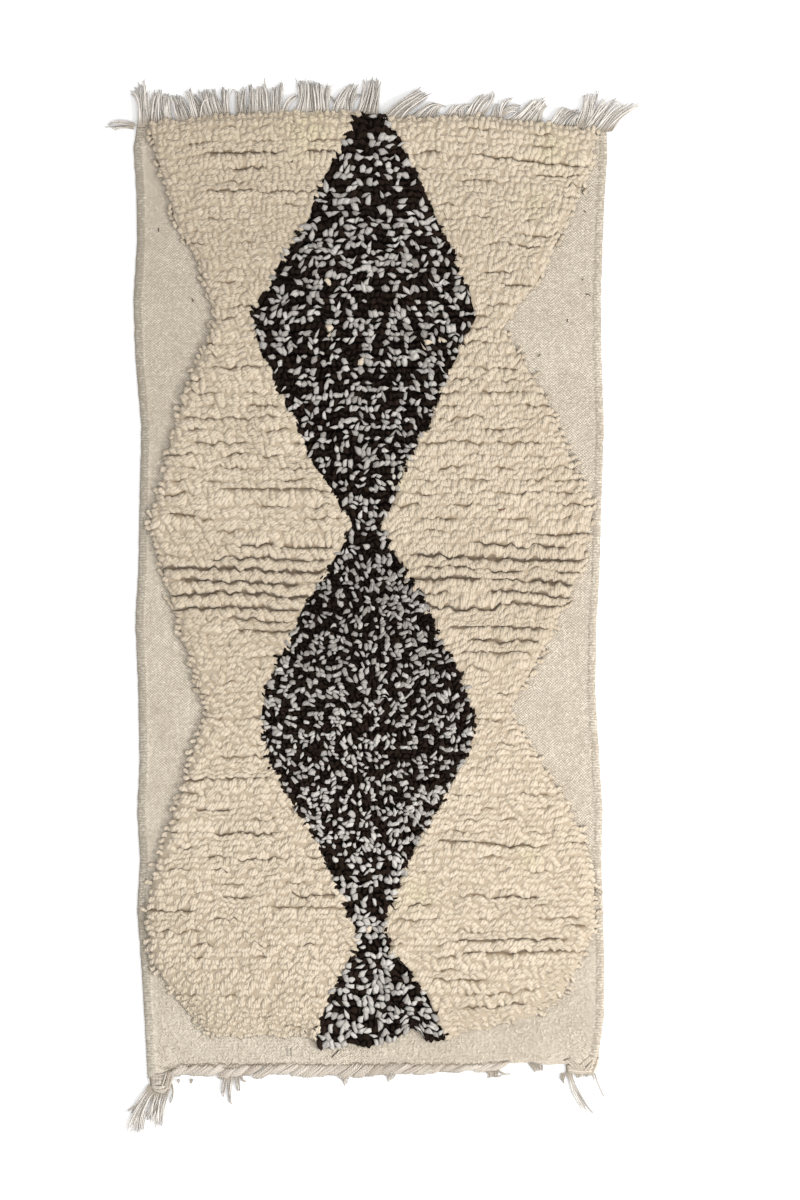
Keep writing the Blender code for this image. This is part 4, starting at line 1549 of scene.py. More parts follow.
@dataclass(frozen=True)
class KnotPlan:
    """Lays out the knots line by line, as they are tied, and picks each one's yarn."""

    naps: tuple[Nap, ...]
    seed: int
    jitter: float = 0.0011
    wave: float = 18.0
    white_clusters: float = 0.90
    wide_clusters: float = 0.15
    cluster_size: float = 0.013
    dark_border: float = 0.005

    def nap(self, x: np.ndarray, y: np.ndarray) -> np.ndarray:
        """How the pile is combed.

        Args:
            x: Places across the rug.
            y: Places up the rug.

        Returns:
            The turn in degrees at each, from +x towards +y.
        """
        outward = np.clip(np.abs(x) / 0.34, 0, 1)
        inner, outer = column(self.naps, y, "inner"), column(self.naps, y, "outer")
        return 90 - np.clip(x / 0.05, -1, 1) * (inner + (outer - inner) * outward)

    def places(self, rng: np.random.Generator) -> tuple[np.ndarray, np.ndarray, np.ndarray]:
        """The knots' places on the loom.

        Args:
            rng: The source of their jitter.

        Returns:
            Their places across the rug and up it, and their rows.
        """
        xs, ys, rows = [], [], []
        for row in range(PILE.rows):
            middle = PILE.foot + PILE.pitch * (row + 0.5)
            lines = round(float(column(self.naps, middle, "lines")))
            pitch = float(column(self.naps, middle, "pitch"))
            for line in range(lines):
                y = PILE.foot + PILE.pitch * (row + (line + 0.52) / (lines + 0.04))
                left, right = (float(side) for side in PILE.sides(np.array(y)))
                across = np.arange(-0.400 + pitch * rng.uniform(0, 1), 0.400, pitch)
                across = across[(across > left + 0.001) & (across < right - 0.001)]
                xs.append(across + rng.normal(0, self.jitter, len(across)))
                ys.append(y + rng.normal(0, 0.7 * self.jitter, len(across)))
                rows.append(np.full(len(across), row))
        return np.concatenate(xs), np.concatenate(ys), np.concatenate(rows)

    def yarns(self, x: np.ndarray, y: np.ndarray, rng: np.random.Generator) -> np.ndarray:
        """Picks each knot's yarn.

        Args:
            x: The knots' places across the rug.
            y: Their places up the rug.
            rng: The source of the lozenges' speckle.

        Returns:
            The name of each knot's yarn.
        """
        left, right = PILE.seams(y)
        inside = np.minimum(x - left, right - x)
        share = column(WHITE_SHARES, y, "white")
        share = share * (1 - 0.75 * np.exp(-np.maximum(inside, 0) / self.dark_border))
        cluster = self.white_clusters * uneven(x, 1.5 * y, self.cluster_size, 21.0)
        cluster += self.wide_clusters * uneven(x, 1.5 * y, 3 * self.cluster_size, 22.0)
        white = rng.random(len(x)) < share + cluster
        yarn = np.where(white, Yarn.WHITE.value, Yarn.BLACK.value)
        for patch in CREAM_KNOTS:
            near = np.hypot(x - patch.x, y - patch.y) < patch.radius
            yarn = np.where(near & (rng.random(len(x)) < 0.7), Yarn.CREAM.value, yarn)
        return np.where(inside > 0, yarn, Yarn.NONE.value)

    def turns(self, x: np.ndarray, y: np.ndarray, rng: np.random.Generator) -> np.ndarray:
        """Which way each lock lies.

        Args:
            x: The knots' places across the rug.
            y: The knots' places up the rug.
            rng: The source of their stray.

        Returns:
            Each lock's turn in radians, from +x towards +y.
        """
        stray = column(self.naps, y, "stray")
        turn = self.nap(x, y) + self.wave * uneven(x, y, 0.030, 61.0)
        return np.radians(turn + rng.normal(0, 0.5, len(x)) * stray)

    def tie(self) -> Knots:
        """Ties all the knots.

        Returns:
            The knots.
        """
        rng = np.random.default_rng(self.seed)
        x, y, row = self.places(rng)
        yarn = self.yarns(x, y, rng)
        turn = self.turns(x, y, rng)
        left, right = PILE.sides(y)
        rim = np.where(x - left < right - x, left - x, x - right)
        length, width = column(self.naps, y, "length"), column(self.naps, y, "width")
        return Knots(x, y, row, turn, yarn, rim, length, width)


class Station(NamedTuple):
    """A station along a lock of wool: the step to it, the turn of its ring, and its half width."""

    forward: float
    aside: float
    up: float
    turn: float
    girth: float


@dataclass(frozen=True)
class LockForm:
    """One way in which a lock of wool bends over: its half width at the root, and its stations."""

    root: float
    stations: tuple[Station, ...]

    @property
    def length(self) -> float:
        """How long the lock lies."""
        return sum(station.forward for station in self.stations) + self.stations[-1].girth

    @property
    def width(self) -> float:
        """How wide the lock is."""
        return 2 * max(station.girth for station in self.stations)


CURLY_LOCKS = (
    LockForm(
        0.0034,
        (
            Station(0.0004, 0.0, 0.0046, 20.0, 0.0039),
            Station(0.0028, 0.0004, 0.0036, 38.0, 0.0041),
            Station(0.0042, 0.001, 0.001, 34.0, 0.0039),
            Station(0.003, 0.0006, -0.001, 14.0, 0.0036),
        ),
    ),
    LockForm(
        0.0034,
        (
            Station(0.0008, 0.0004, 0.0048, 16.0, 0.0039),
            Station(0.0022, -0.0006, 0.004, 34.0, 0.0042),
            Station(0.0038, -0.0014, 0.0018, 30.0, 0.0039),
            Station(0.0026, -0.0014, -0.0002, 20.0, 0.0036),
        ),
    ),
    LockForm(
        0.0034,
        (
            Station(0.0, 0.0, 0.005, 12.0, 0.004),
            Station(0.0018, 0.001, 0.0042, 26.0, 0.0042),
            Station(0.003, 0.0016, 0.0022, 28.0, 0.0039),
            Station(0.002, 0.0018, 0.0002, 26.0, 0.0036),
        ),
    ),
)
COMBED_LOCKS = (
    LockForm(
        0.0030,
        (
            Station(0.0008, 0.0, 0.004, 38.0, 0.004),
            Station(0.0048, 0.0005, 0.0024, 36.0, 0.0045),
            Station(0.0056, 0.0007, 0.0004, 12.0, 0.0046),
            Station(0.0054, 0.0, -0.0002, 8.0, 0.0045),
            Station(0.0046, -0.0007, -0.0006, 8.0, 0.0038),
            Station(0.003, -0.0004, -0.002, 22.0, 0.0027),
        ),
    ),
    LockForm(
        0.0030,
        (
            Station(0.0006, 0.0002, 0.0042, 36.0, 0.0038),
            Station(0.0044, -0.0006, 0.0026, 38.0, 0.0044),
            Station(0.0056, -0.0011, 0.0006, 10.0, 0.0046),
            Station(0.0056, -0.0004, -0.0004, 10.0, 0.0046),
            Station(0.0048, 0.0006, -0.0008, 8.0, 0.004),
            Station(0.0028, 0.0006, -0.0022, 22.0, 0.0028),
        ),
    ),
    LockForm(
        0.0030,
        (
            Station(0.001, 0.0, 0.0038, 40.0, 0.004),
            Station(0.005, 0.0002, 0.0022, 34.0, 0.0046),
            Station(0.0058, 0.001, 0.0002, 10.0, 0.0045),
            Station(0.0056, 0.0012, 0.0, 6.0, 0.0043),
            Station(0.0046, 0.0008, -0.0008, 10.0, 0.0037),
            Station(0.003, 0.0004, -0.0018, 20.0, 0.0027),
        ),
    ),
)


@dataclass(frozen=True)
class LockBench:
    """Models one lock of wool as a small closed column that bends over."""

    form: LockForm
    sides: int

    def column(self, bent: bool) -> bpy.types.Object:
        """Draws the lock out of a disc, station by station.

        Args:
            bent: Whether it bends over, or stands straight with the same points.

        Returns:
            The lock.
        """
        deselect_all()
        bpy.ops.mesh.primitive_circle_add(
            vertices=self.sides, radius=self.form.root, fill_type="NGON", location=(0, 0, 0)
        )
        lock = bpy.context.active_object
        bpy.ops.object.mode_set(mode="EDIT")
        centre = Vector((0.0, 0.0, 0.0))
        girth = self.form.root
        for station in self.form.stations:
            step = Vector((station.forward, station.aside, station.up))
            move = step if bent else Vector((0.0, 0.0, step.length))
            bpy.ops.mesh.extrude_region_move(TRANSFORM_OT_translate={"value": move})
            centre += move
            grown = station.girth / girth
            bpy.ops.transform.resize(value=(grown, grown, grown), center_override=centre)
            if bent:
                turn = -math.radians(station.turn)
                bpy.ops.transform.rotate(value=turn, orient_axis="Y", center_override=centre)
            girth = station.girth
        bpy.ops.object.mode_set(mode="OBJECT")
        return lock

    def model(self) -> Model:
        """Models the lock and takes it off the bench.

        Returns:
            Its shape, bent and unbent.
        """
        bent, straight = self.column(True), self.column(False)
        corners, sizes = faces_of(bent.data)
        model = Model(points_of(bent.data), points_of(straight.data), corners, sizes)
        for shape in (bent, straight):
            mesh = shape.data
            bpy.data.objects.remove(shape)
            bpy.data.meshes.remove(mesh)
        return model


@dataclass(frozen=True)
class LockPiece:
    """One piece of the pile: the locks of some knots, grown from a few modelled forms."""

    name: str
    forms: tuple[LockForm, ...]
    finish: Finish
    node: str
    seed: int
    sides: int = 5
    spread: float = 0.12
    tilt: float = 4.5
    rim_tilt: float = 24.0
    ruffle: float = 0.0004
    least_root: float = 0.0046
    least_growth: float = 0.56
    ragged: float = 0.0010
    # bare_width and soft_from set where the painted side, tip and root shade is eased: near the rims,
    # where the pile is low, and towards the head.
    bare_width: float = 0.024
    soft_from: float = 0.600
    lift: float = 0.0
    pressed: float = 2.1
    pressed_depth: float = 0.0055
    sag: float = 0.60
    lowest: float = 0.0044
    tone: float = 0.5
    tone_spread: float = 0.22
    # The next two lay a painted shade round the top-left corner of the wool.
    painted_shade_patch: Patch = Patch(-0.34, 0.78, 0.30)
    painted_shade_strength: float = 0.36
    staining: float = 0.5

    def turned(
        self, points: np.ndarray, knots: Knots, room: np.ndarray, rng: np.random.Generator
    ) -> tuple[np.ndarray, np.ndarray]:
        """Scales, tilts and turns each lock about its root.

        Args:
            points: The locks' points, as lock, point, and x, y and z.
            knots: The locks' knots.
            room: How high the pile stands there.
            rng: The source of their unevenness.

        Returns:
            The points about each root, and -1 for each lock that was mirrored.
        """
        count = len(knots.x)
        grown = np.sqrt(np.clip(room / (PILE.top - self.least_root), self.least_growth, 1.0))
        long = grown * knots.length / self.forms[0].length * rng.normal(1, self.spread, count)
        wide = grown * knots.width / self.forms[0].width * rng.normal(1, 0.8 * self.spread, count)
        mirrored = np.where(rng.random(count) < 0.5, -1.0, 1.0)
        points = points * np.stack((long, wide * mirrored, long * 0 + 1), axis=1)[:, None]
        tilt = np.radians(rng.normal(0, self.tilt, count))
        tilt += np.where(knots.rim > -0.006, np.radians(self.rim_tilt), 0.0)
        x = points[..., 0] * np.cos(tilt)[:, None] + points[..., 2] * np.sin(tilt)[:, None]
        z = points[..., 2] * np.cos(tilt)[:, None] - points[..., 0] * np.sin(tilt)[:, None]
        y = points[..., 1]
        cos, sin = np.cos(knots.turn)[:, None], np.sin(knots.turn)[:, None]
        return np.stack((x * cos - y * sin, x * sin + y * cos, z), axis=2), mirrored

    def settle(self, points: np.ndarray, knots: Knots, rng: np.random.Generator) -> np.ndarray:
        """Presses each lock into its row and lets it sag towards an open crease.

        Args:
            points: The locks' points in straight rows.
            knots: Their knots.
            rng: The source of their unevenness.

        Returns:
            The points where the rows wander.
        """
        x, y, z = points[..., 0], points[..., 1], points[..., 2]
        low = PILE.foot + PILE.pitch * knots.row + PILE.gap(knots.x, knots.row) / 2
        high = PILE.foot + PILE.pitch * (knots.row + 1) - PILE.gap(knots.x, knots.row + 1) / 2
        low = np.where(knots.row == 0, PILE.foot - 0.004, low) + rng.normal(0, self.ragged, len(low))
        high = np.where(knots.row == PILE.rows - 1, PILE.head + 0.006, high)
        high = high + rng.normal(0, self.ragged, len(low))
        bottom, reach = y.min(axis=1), np.ptp(y, axis=1)
        share = np.minimum(1, (high - low) / reach)
        middle = np.clip(bottom + reach / 2, low + reach * share / 2, high - reach * share / 2)
        y = middle[:, None] + (y - (bottom + reach / 2)[:, None]) * share[:, None]
        row = np.broadcast_to(knots.row[:, None], x.shape)
        z = np.maximum(z - self.sag * PILE.sag(x, y, row), self.lowest)
        return np.stack((x, PILE.warp(x, y), z), axis=2)

    def colours(self, knots: Knots, rng: np.random.Generator) -> tuple[np.ndarray, np.ndarray]:
        """Picks each lock's own tone with painted light and shade laid on it, and how stained it is.

        Args:
            knots: The locks' knots.
            rng: The source of their unevenness.

        Returns:
            The tones and the stains, from 0 to 1.
        """
        # Painted shade round the top-left corner, and painted light and shade up the rug, laid on each
        # lock's own tone.
        shade_distance = np.hypot(knots.x - self.painted_shade_patch.x, knots.y - self.painted_shade_patch.y) / self.painted_shade_patch.radius
        right = np.clip(knots.x / 0.6 + 0.5, 0, 1)
        painted_shading = column(PAINTED_SHADING, knots.y, "left") * (1 - right) + column(PAINTED_SHADING, knots.y, "right") * right
        tones = rng.normal(self.tone, self.tone_spread, len(knots.x)) + painted_shading
        tones = np.clip(tones - self.painted_shade_strength * np.exp(-(shade_distance**2)), 0, 1)
        stains = np.zeros(len(knots.x))
        for patch in STAINS:
            away = np.hypot(knots.x - patch.x, knots.y - patch.y)
            stains = np.maximum(stains, self.staining * np.exp(-((away / patch.radius) ** 2)))
        return tones, stains

    def build(self, knots: Knots) -> bpy.types.Object:
        """Grows the locks.

        Args:
            knots: Their knots.

        Returns:
            The piece.
        """
        rng = np.random.default_rng(self.seed)
        models = [LockBench(form, self.sides).model() for form in self.forms]
        picks = rng.integers(0, len(models), len(knots.x))
        points = np.stack([model.points for model in models])[picks]
        unbent = np.stack([model.unbent for model in models])[picks]
        crown = PILE.crown(knots.x, knots.y) + self.lift
        crown += rng.normal(0, self.ruffle, len(knots.x))
        room = crown - self.least_root
        points, mirrored = self.turned(points, knots, room, rng)
        # Painted shade is eased on locks near the rims, where the pile is low and towards the head: their
        # unbent places are squeezed so that less of the painted shade falls on them.
        bare = np.maximum(1 + knots.rim / self.bare_width, 1.4 - 1.8 * room / room.max())
        bare = np.clip(np.maximum(bare, 0.75 * (knots.y - self.soft_from) / 0.12), 0, 1)
        unbent = unbent * np.stack((mirrored, 1 - 0.6 * bare, 1 - 0.25 * bare), axis=1)[:, None]
        unbent[..., 2] += 0.004 * bare[:, None]
        height = points[..., 2].max(axis=1)
        points[..., 2] *= np.minimum(room / height, 1.0)[:, None]
        root = np.maximum(crown - height, self.least_root)
        middle = (points.max(axis=1) + points.min(axis=1)) / 2
        points += np.stack((knots.x - middle[:, 0], knots.y - middle[:, 1], root), axis=1)[:, None]
        under = np.clip((crown[:, None] - points[..., 2]) / self.pressed_depth, 0, None)
        points[..., 2] += self.pressed_depth * (under - under**self.pressed) * (under < 1)
        points = self.settle(points, knots, rng)
        tones, stains = self.colours(knots, rng)
        corners, sizes = models[0].corners, models[0].sizes
        piece = joined(self.name, points, unbent, tones, stains, corners, sizes)
        self.flip(piece, mirrored, len(sizes))
        self.finish.dress(piece)
        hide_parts(self.node)
        return piece

    def flip(self, piece: bpy.types.Object, mirrored: np.ndarray, faces: int) -> None:
        """Turns the faces of the mirrored locks outwards again.

        Args:
            piece: The piece.
            mirrored: -1 for each lock that was mirrored.
            faces: The number of faces of one lock.
        """
        inside_out = np.repeat(mirrored < 0, faces)
        for face, turned in zip(piece.data.polygons, inside_out):
            if turned:
                face.flip()


class Part(Enum):
    """The parts of the pile that have a bed of their own."""

    LEFT = "left of the lozenges"
    MIDDLE = "the lozenges"
    RIGHT = "right of the lozenges"


@dataclass(frozen=True)
class PileBed:
    """The felted wool between the locks: a lumpy sheet that is deep in the creases."""

    name: str
    node: str
    finish: WoolFinish
    columns: int
    part: Part
    shares: tuple[float, ...] = (0.0, 0.10, 0.28, 0.50, 0.72, 0.90)
    below_crown: float = 0.0021
    crease_depth: float = 2.7
    floor: float = 0.0043
    least_thickness: float = 0.0006
    lumps: float = 0.0008
    lump_size: float = 0.006
    shaded_depth: float = 0.0036
    rim_inset: float = 0.006
    end_inset: float = 0.002
    tone: float = 0.45

    def edges(self, y: np.ndarray) -> tuple[np.ndarray, np.ndarray]:
        """Where the bed ends at its sides.

        Args:
            y: Places up the rug.

        Returns:
            Its left and its right edge there.
        """
        (left, right), seams = PILE.sides(y), PILE.seams(y)
        if self.part is Part.LEFT:
            return left + self.rim_inset, seams[0]
        if self.part is Part.RIGHT:
            return seams[1], right - self.rim_inset
        return seams

    def build(self) -> bpy.types.Object:
        """Models the bed as a grid that is shaped, with its edge drawn down and closed below.

        Returns:
            The bed.
        """
        each = len(self.shares)
        places = [row + share for row in range(PILE.rows) for share in self.shares] + [PILE.rows]
        bed = add_grid(self.name, self.columns, each * PILE.rows)
        grid = points_of(bed.data)
        number = np.rint((grid[:, 1] + 1) / 2 * each * PILE.rows).astype(int)
        y = PILE.foot + PILE.pitch * np.array(places)[number]
        y = np.clip(y, PILE.foot + self.end_inset, PILE.head - self.end_inset)
        left, right = self.edges(y)
        x = left + (grid[:, 0] + 1) / 2 * (right - left)
        crown = PILE.crown(x, y)
        # How far the pile drops at the rims and the foot: there the bed lies shallower and its painted
        # shade is eased.
        painted_light = 0.75 * np.clip((PILE.top - 0.001 - crown) / PILE.foot_drop, 0, 1)
        felt = self.crease_depth * PILE.sag(x, y, PILE.row_of(y))
        depth = self.below_crown * (1 - painted_light) + felt
        depth = depth + self.lumps * uneven(x, y, self.lump_size, 8.0)
        top = np.maximum(crown - depth, self.floor + self.least_thickness)
        close_below(bed, np.stack((x, PILE.warp(x, y), top), axis=1), self.floor)
        yarn = points_of(bed.data)
        # Painted shade: the bed's colour is drawn towards the painted shade colour where it lies deep in a
        # crease, and eased where the pile drops.
        light = 0.72 + 0.25 * painted_light - np.maximum(depth - self.below_crown, 0) / self.shaded_depth
        yarn[:, 2] = 0
        yarn[: len(light), 2] = self.finish.length * light
        write_attribute(bed.data, "yarn", yarn)
        write_attribute(bed.data, "tone", np.full(len(yarn), self.tone))
        write_attribute(bed.data, "stain", np.zeros(len(yarn)))
        bed.data.shade_smooth()
        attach(bed, "root")
        self.finish.dress(bed)
        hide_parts(self.node)
        return bed


@dataclass(frozen=True)
class GroundCloth:
    """The flat-woven ground: a thin sheet with corded selvedges and ribs of weft."""

    weft_pitch: float = 0.0050
    warp_pitch: float = 0.0055
    left_columns: int = 25
    right_columns: int = 30
    middle_columns: int = 8
    height: float = 0.0033
    rib: float = 0.00062
    cross: float = 0.00050
    cord_rib: float = 0.00022
    edge_wave: float = 0.0009
    edge_step: float = 0.0004
    lumps: float = 0.0003
    drop_from: float = -0.660
    # right_cord sets how much painted shadow the right selvedge cord gets, against the full share of the
    # left one.
    right_cord: float = 0.4
    # The next two paint light over the foot's left half and shade over the upper left of the cloth.
    foot_painted_light: float = 0.40
    left_painted_shade: float = 0.20
    cord: tuple[tuple[float, float], ...] = (
        (0.0000, 0.0012),
        (0.0012, 0.0034),
        (0.0036, 0.0046),
        (0.0070, 0.0049),
        (0.0104, 0.0045),
        (0.0126, 0.0035),
        (0.0142, 0.0030),
    )

    def stations(self) -> np.ndarray:
        """The stations up the cloth, two to each weft."""
        count = 2 * round((LOOM.head - LOOM.foot) / self.weft_pitch) + 1
        return np.linspace(LOOM.foot, LOOM.head, count)

    def rows(self) -> np.ndarray:
        """Lays out the cloth's upper side, with its ribs of weft and its cords.

        Returns:
            Its points on the loom, as station, column, and x, y and z.
        """
        y = self.stations()
        number = np.arange(len(y))
        crest = np.where(number % 2, 1.0, -1.0)
        weft = number // 2
        wave = self.edge_wave * uneven(y, 0 * y, 0.016, 71.0) + self.edge_step * crest
        left = column(SELVEDGES, y, "left") + wave
        right = column(SELVEDGES, y, "right") - wave[::-1]
        insets = np.array([inset for inset, _ in self.cord])
        heights = np.array([height for _, height in self.cord])
        ribs = heights[None, :] + self.cord_rib * crest[:, None] * (heights > 0.003)
        edge = insets[-1] + self.warp_pitch * np.arange(1, self.left_columns + 1)
        other = insets[-1] + self.warp_pitch * np.arange(1, self.right_columns + 1)
        x_left = left[:, None] + np.concatenate((insets, edge))
        x_right = (right[:, None] - np.concatenate((insets, other)))[:, ::-1]
        share = np.linspace(0, 1, self.middle_columns + 2)[1:-1]
        x_middle = x_left[:, -1:] + share * (x_right[:, :1] - x_left[:, -1:])
        x = np.concatenate((x_left, x_middle, x_right), axis=1)
        low = np.clip((self.drop_from - y) / (self.drop_from - LOOM.foot), 0, 1)[:, None] ** 2
        full_y = y[:, None] - low * column(CORNER_DROPS, x, "deep")
        parity = np.where((weft[:, None] + np.arange(x.shape[1])[None, :]) % 2, 1.0, -1.0)
        z = self.height + self.rib * crest[:, None] + self.cross * parity * (crest[:, None] > 0)
        z = z + self.lumps * uneven(x, full_y, 0.030)
        z[:, : len(insets)] = ribs
        z[:, -len(insets) :] = ribs[:, ::-1]
        return np.stack((x, full_y, z), axis=2)

    def build(self) -> bpy.types.Object:
        """Models the cloth as a grid that is shaped, with its edge drawn down and closed below.

        Returns:
            The cloth.
        """
        rows = self.rows()
        cloth = add_grid("ground_cloth", rows.shape[1] - 1, rows.shape[0] - 1)
        close_below(cloth, rows.reshape(-1, 3), 0.0)
        # The cord attribute marks the selvedge cords and how much painted shadow each gets.
        banded = np.zeros(rows.shape[:2])
        banded[:, : len(self.cord) - 1] = 1.0
        banded[:, 1 - len(self.cord) :] = self.right_cord
        x, y = rows[..., 0], rows[..., 1]
        # Painted light over the foot's left half and painted shade over the upper left of the cloth.
        foot = np.clip((-0.600 - y) / 0.10, 0, 1) * np.clip(0.4 - x / 0.3, 0, 1)
        painted_light = self.foot_painted_light * foot - self.left_painted_shade * np.clip(y / 0.3, 0, 1) * (x < 0)
        below = np.zeros(len(cloth.data.vertices) - x.size)
        write_attribute(cloth.data, "cord", np.concatenate((banded.ravel(), below)))
        write_attribute(cloth.data, "painted_light", np.concatenate((painted_light.ravel(), below)))
        cloth.data.shade_smooth()
        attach(cloth, "root")
        WeaveFinish().dress(cloth)
        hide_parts("ground_weave")
        return cloth


@dataclass(frozen=True)
class LooseYarns:
    """Bunches of loose yarns that run from their roots over their middles to their tips."""

    bunches: tuple[Bunch, ...]
    radius: float
    seed: int
    rings: int = 9
    sway: float = 0.0008
    root_height: float = 0.0034
    least: float = 0.4
    tuck: float = 0.0
    stray: float = 0.12
    tone: float = 0.55
    tone_spread: float = 0.30
    # The next gives painted light on the yarns towards the right.
    painted_light_right: float = 0.0

    def path(self, bunch: Bunch, share: float, rng: np.random.Generator) -> np.ndarray:
        """Draws one yarn.

        Args:
            bunch: Its bunch.
            share: Its place in the bunch from 0 to 1.
            rng: The source of its unevenness.

        Returns:
            Its middles, from root to tip.
        """
        t = np.linspace(0, 1, self.rings)[:, None]
        later = np.clip(share + bunch.mix * rng.normal(), -0.08, 1.08)
        half = (share + later) / 2
        shares = np.array([share, half, later])[:, None]
        first, last = np.reshape(bunch.first, (3, 2)), np.reshape(bunch.last, (3, 2))
        root, middle, tip = (1 - shares) * first + shares * last
        root = root - np.array([0.0, self.tuck])
        tip = middle + (tip - middle) * (1 + self.stray * rng.normal())
        control = 2 * middle - (root + tip) / 2
        flat = (1 - t) ** 2 * root + 2 * t * (1 - t) * control + t**2 * tip
        way = (tip - root) / max(float(np.linalg.norm(tip - root)), 1e-6)
        phase, waves = rng.uniform(0, 2 * np.pi), rng.uniform(0.7, 1.7)
        sway = self.sway * rng.uniform(0.5, 1.5) * np.sin(2 * np.pi * waves * t + phase) * t**0.7
        flat = flat + sway * np.array([-way[1], way[0]])
        layer = rng.uniform(0, 1)
        high = self.root_height * (1 - t) + (self.radius + 0.0012 * layer) * t
        high = high + bunch.lift * layer * np.sin(np.pi * np.clip(1.08 * t, 0, 1))
        return np.hstack((flat, np.maximum(high, self.radius)))

    def draw(self) -> tuple[np.ndarray, np.ndarray]:
        """Draws all the yarns where they lie, and takes the bow of the ends off again.

        Returns:
            The yarns' middles and radii, from root to tip.
        """
        rng = np.random.default_rng(self.seed)
        paths = []
        for bunch in self.bunches:
            for share in np.linspace(0, 1, bunch.yarns):
                paths.append(self.path(bunch, share, rng))
        paths = np.array(paths)
        paths[..., 1] -= LOOM.bow(paths[..., 0], np.sign(paths[..., 1]))
        thick = self.radius * rng.uniform(0.72, 1.25, len(paths))
        taper = np.interp(np.linspace(0, 1, self.rings), (0, 0.8, 1), (1.0, 0.92, self.least))
        return paths, thick[:, None] * taper

    def build(self, name: str, finish: Finish, sides: int = 5) -> bpy.types.Object:
        """Makes the yarns as one piece.

        Args:
            name: The piece's name.
            finish: Its finish.
            sides: How many sides each yarn has.

        Returns:
            The piece.
        """
        paths, girths = self.draw()
        tones = np.random.default_rng(self.seed).normal(self.tone, self.tone_spread, len(paths))
        # Painted light: the yarns are drawn lighter towards the right.
        tones = np.clip(tones + self.painted_light_right * np.clip(paths[:, 0, 0] / 0.15, 0, 1), 0, 1)
        piece = Tubes(sides).piece(name, paths, girths, tones)
        finish.dress(piece)
        return piece


@dataclass(frozen=True)
class HeadFringe:
    """The warp ends along the head, in bunches that lean, cross and curl."""

    radius: float = 0.0013
    root_height: float = 0.0062
    tuck: float = 0.0050
    # Painted light on the fringe's right half.
    painted_light_right: float = 0.20
    seed: int = 23

    def build(self) -> bpy.types.Object:
        """Makes the fringe.

        Returns:
            The piece.
        """
        yarns = LooseYarns(
            FRINGE, self.radius, self.seed, root_height=self.root_height, tuck=self.tuck, painted_light_right=self.painted_light_right
        )
        piece = yarns.build("fringe_yarns", WARP_YARN)
        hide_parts("fringe_top")
        return piece


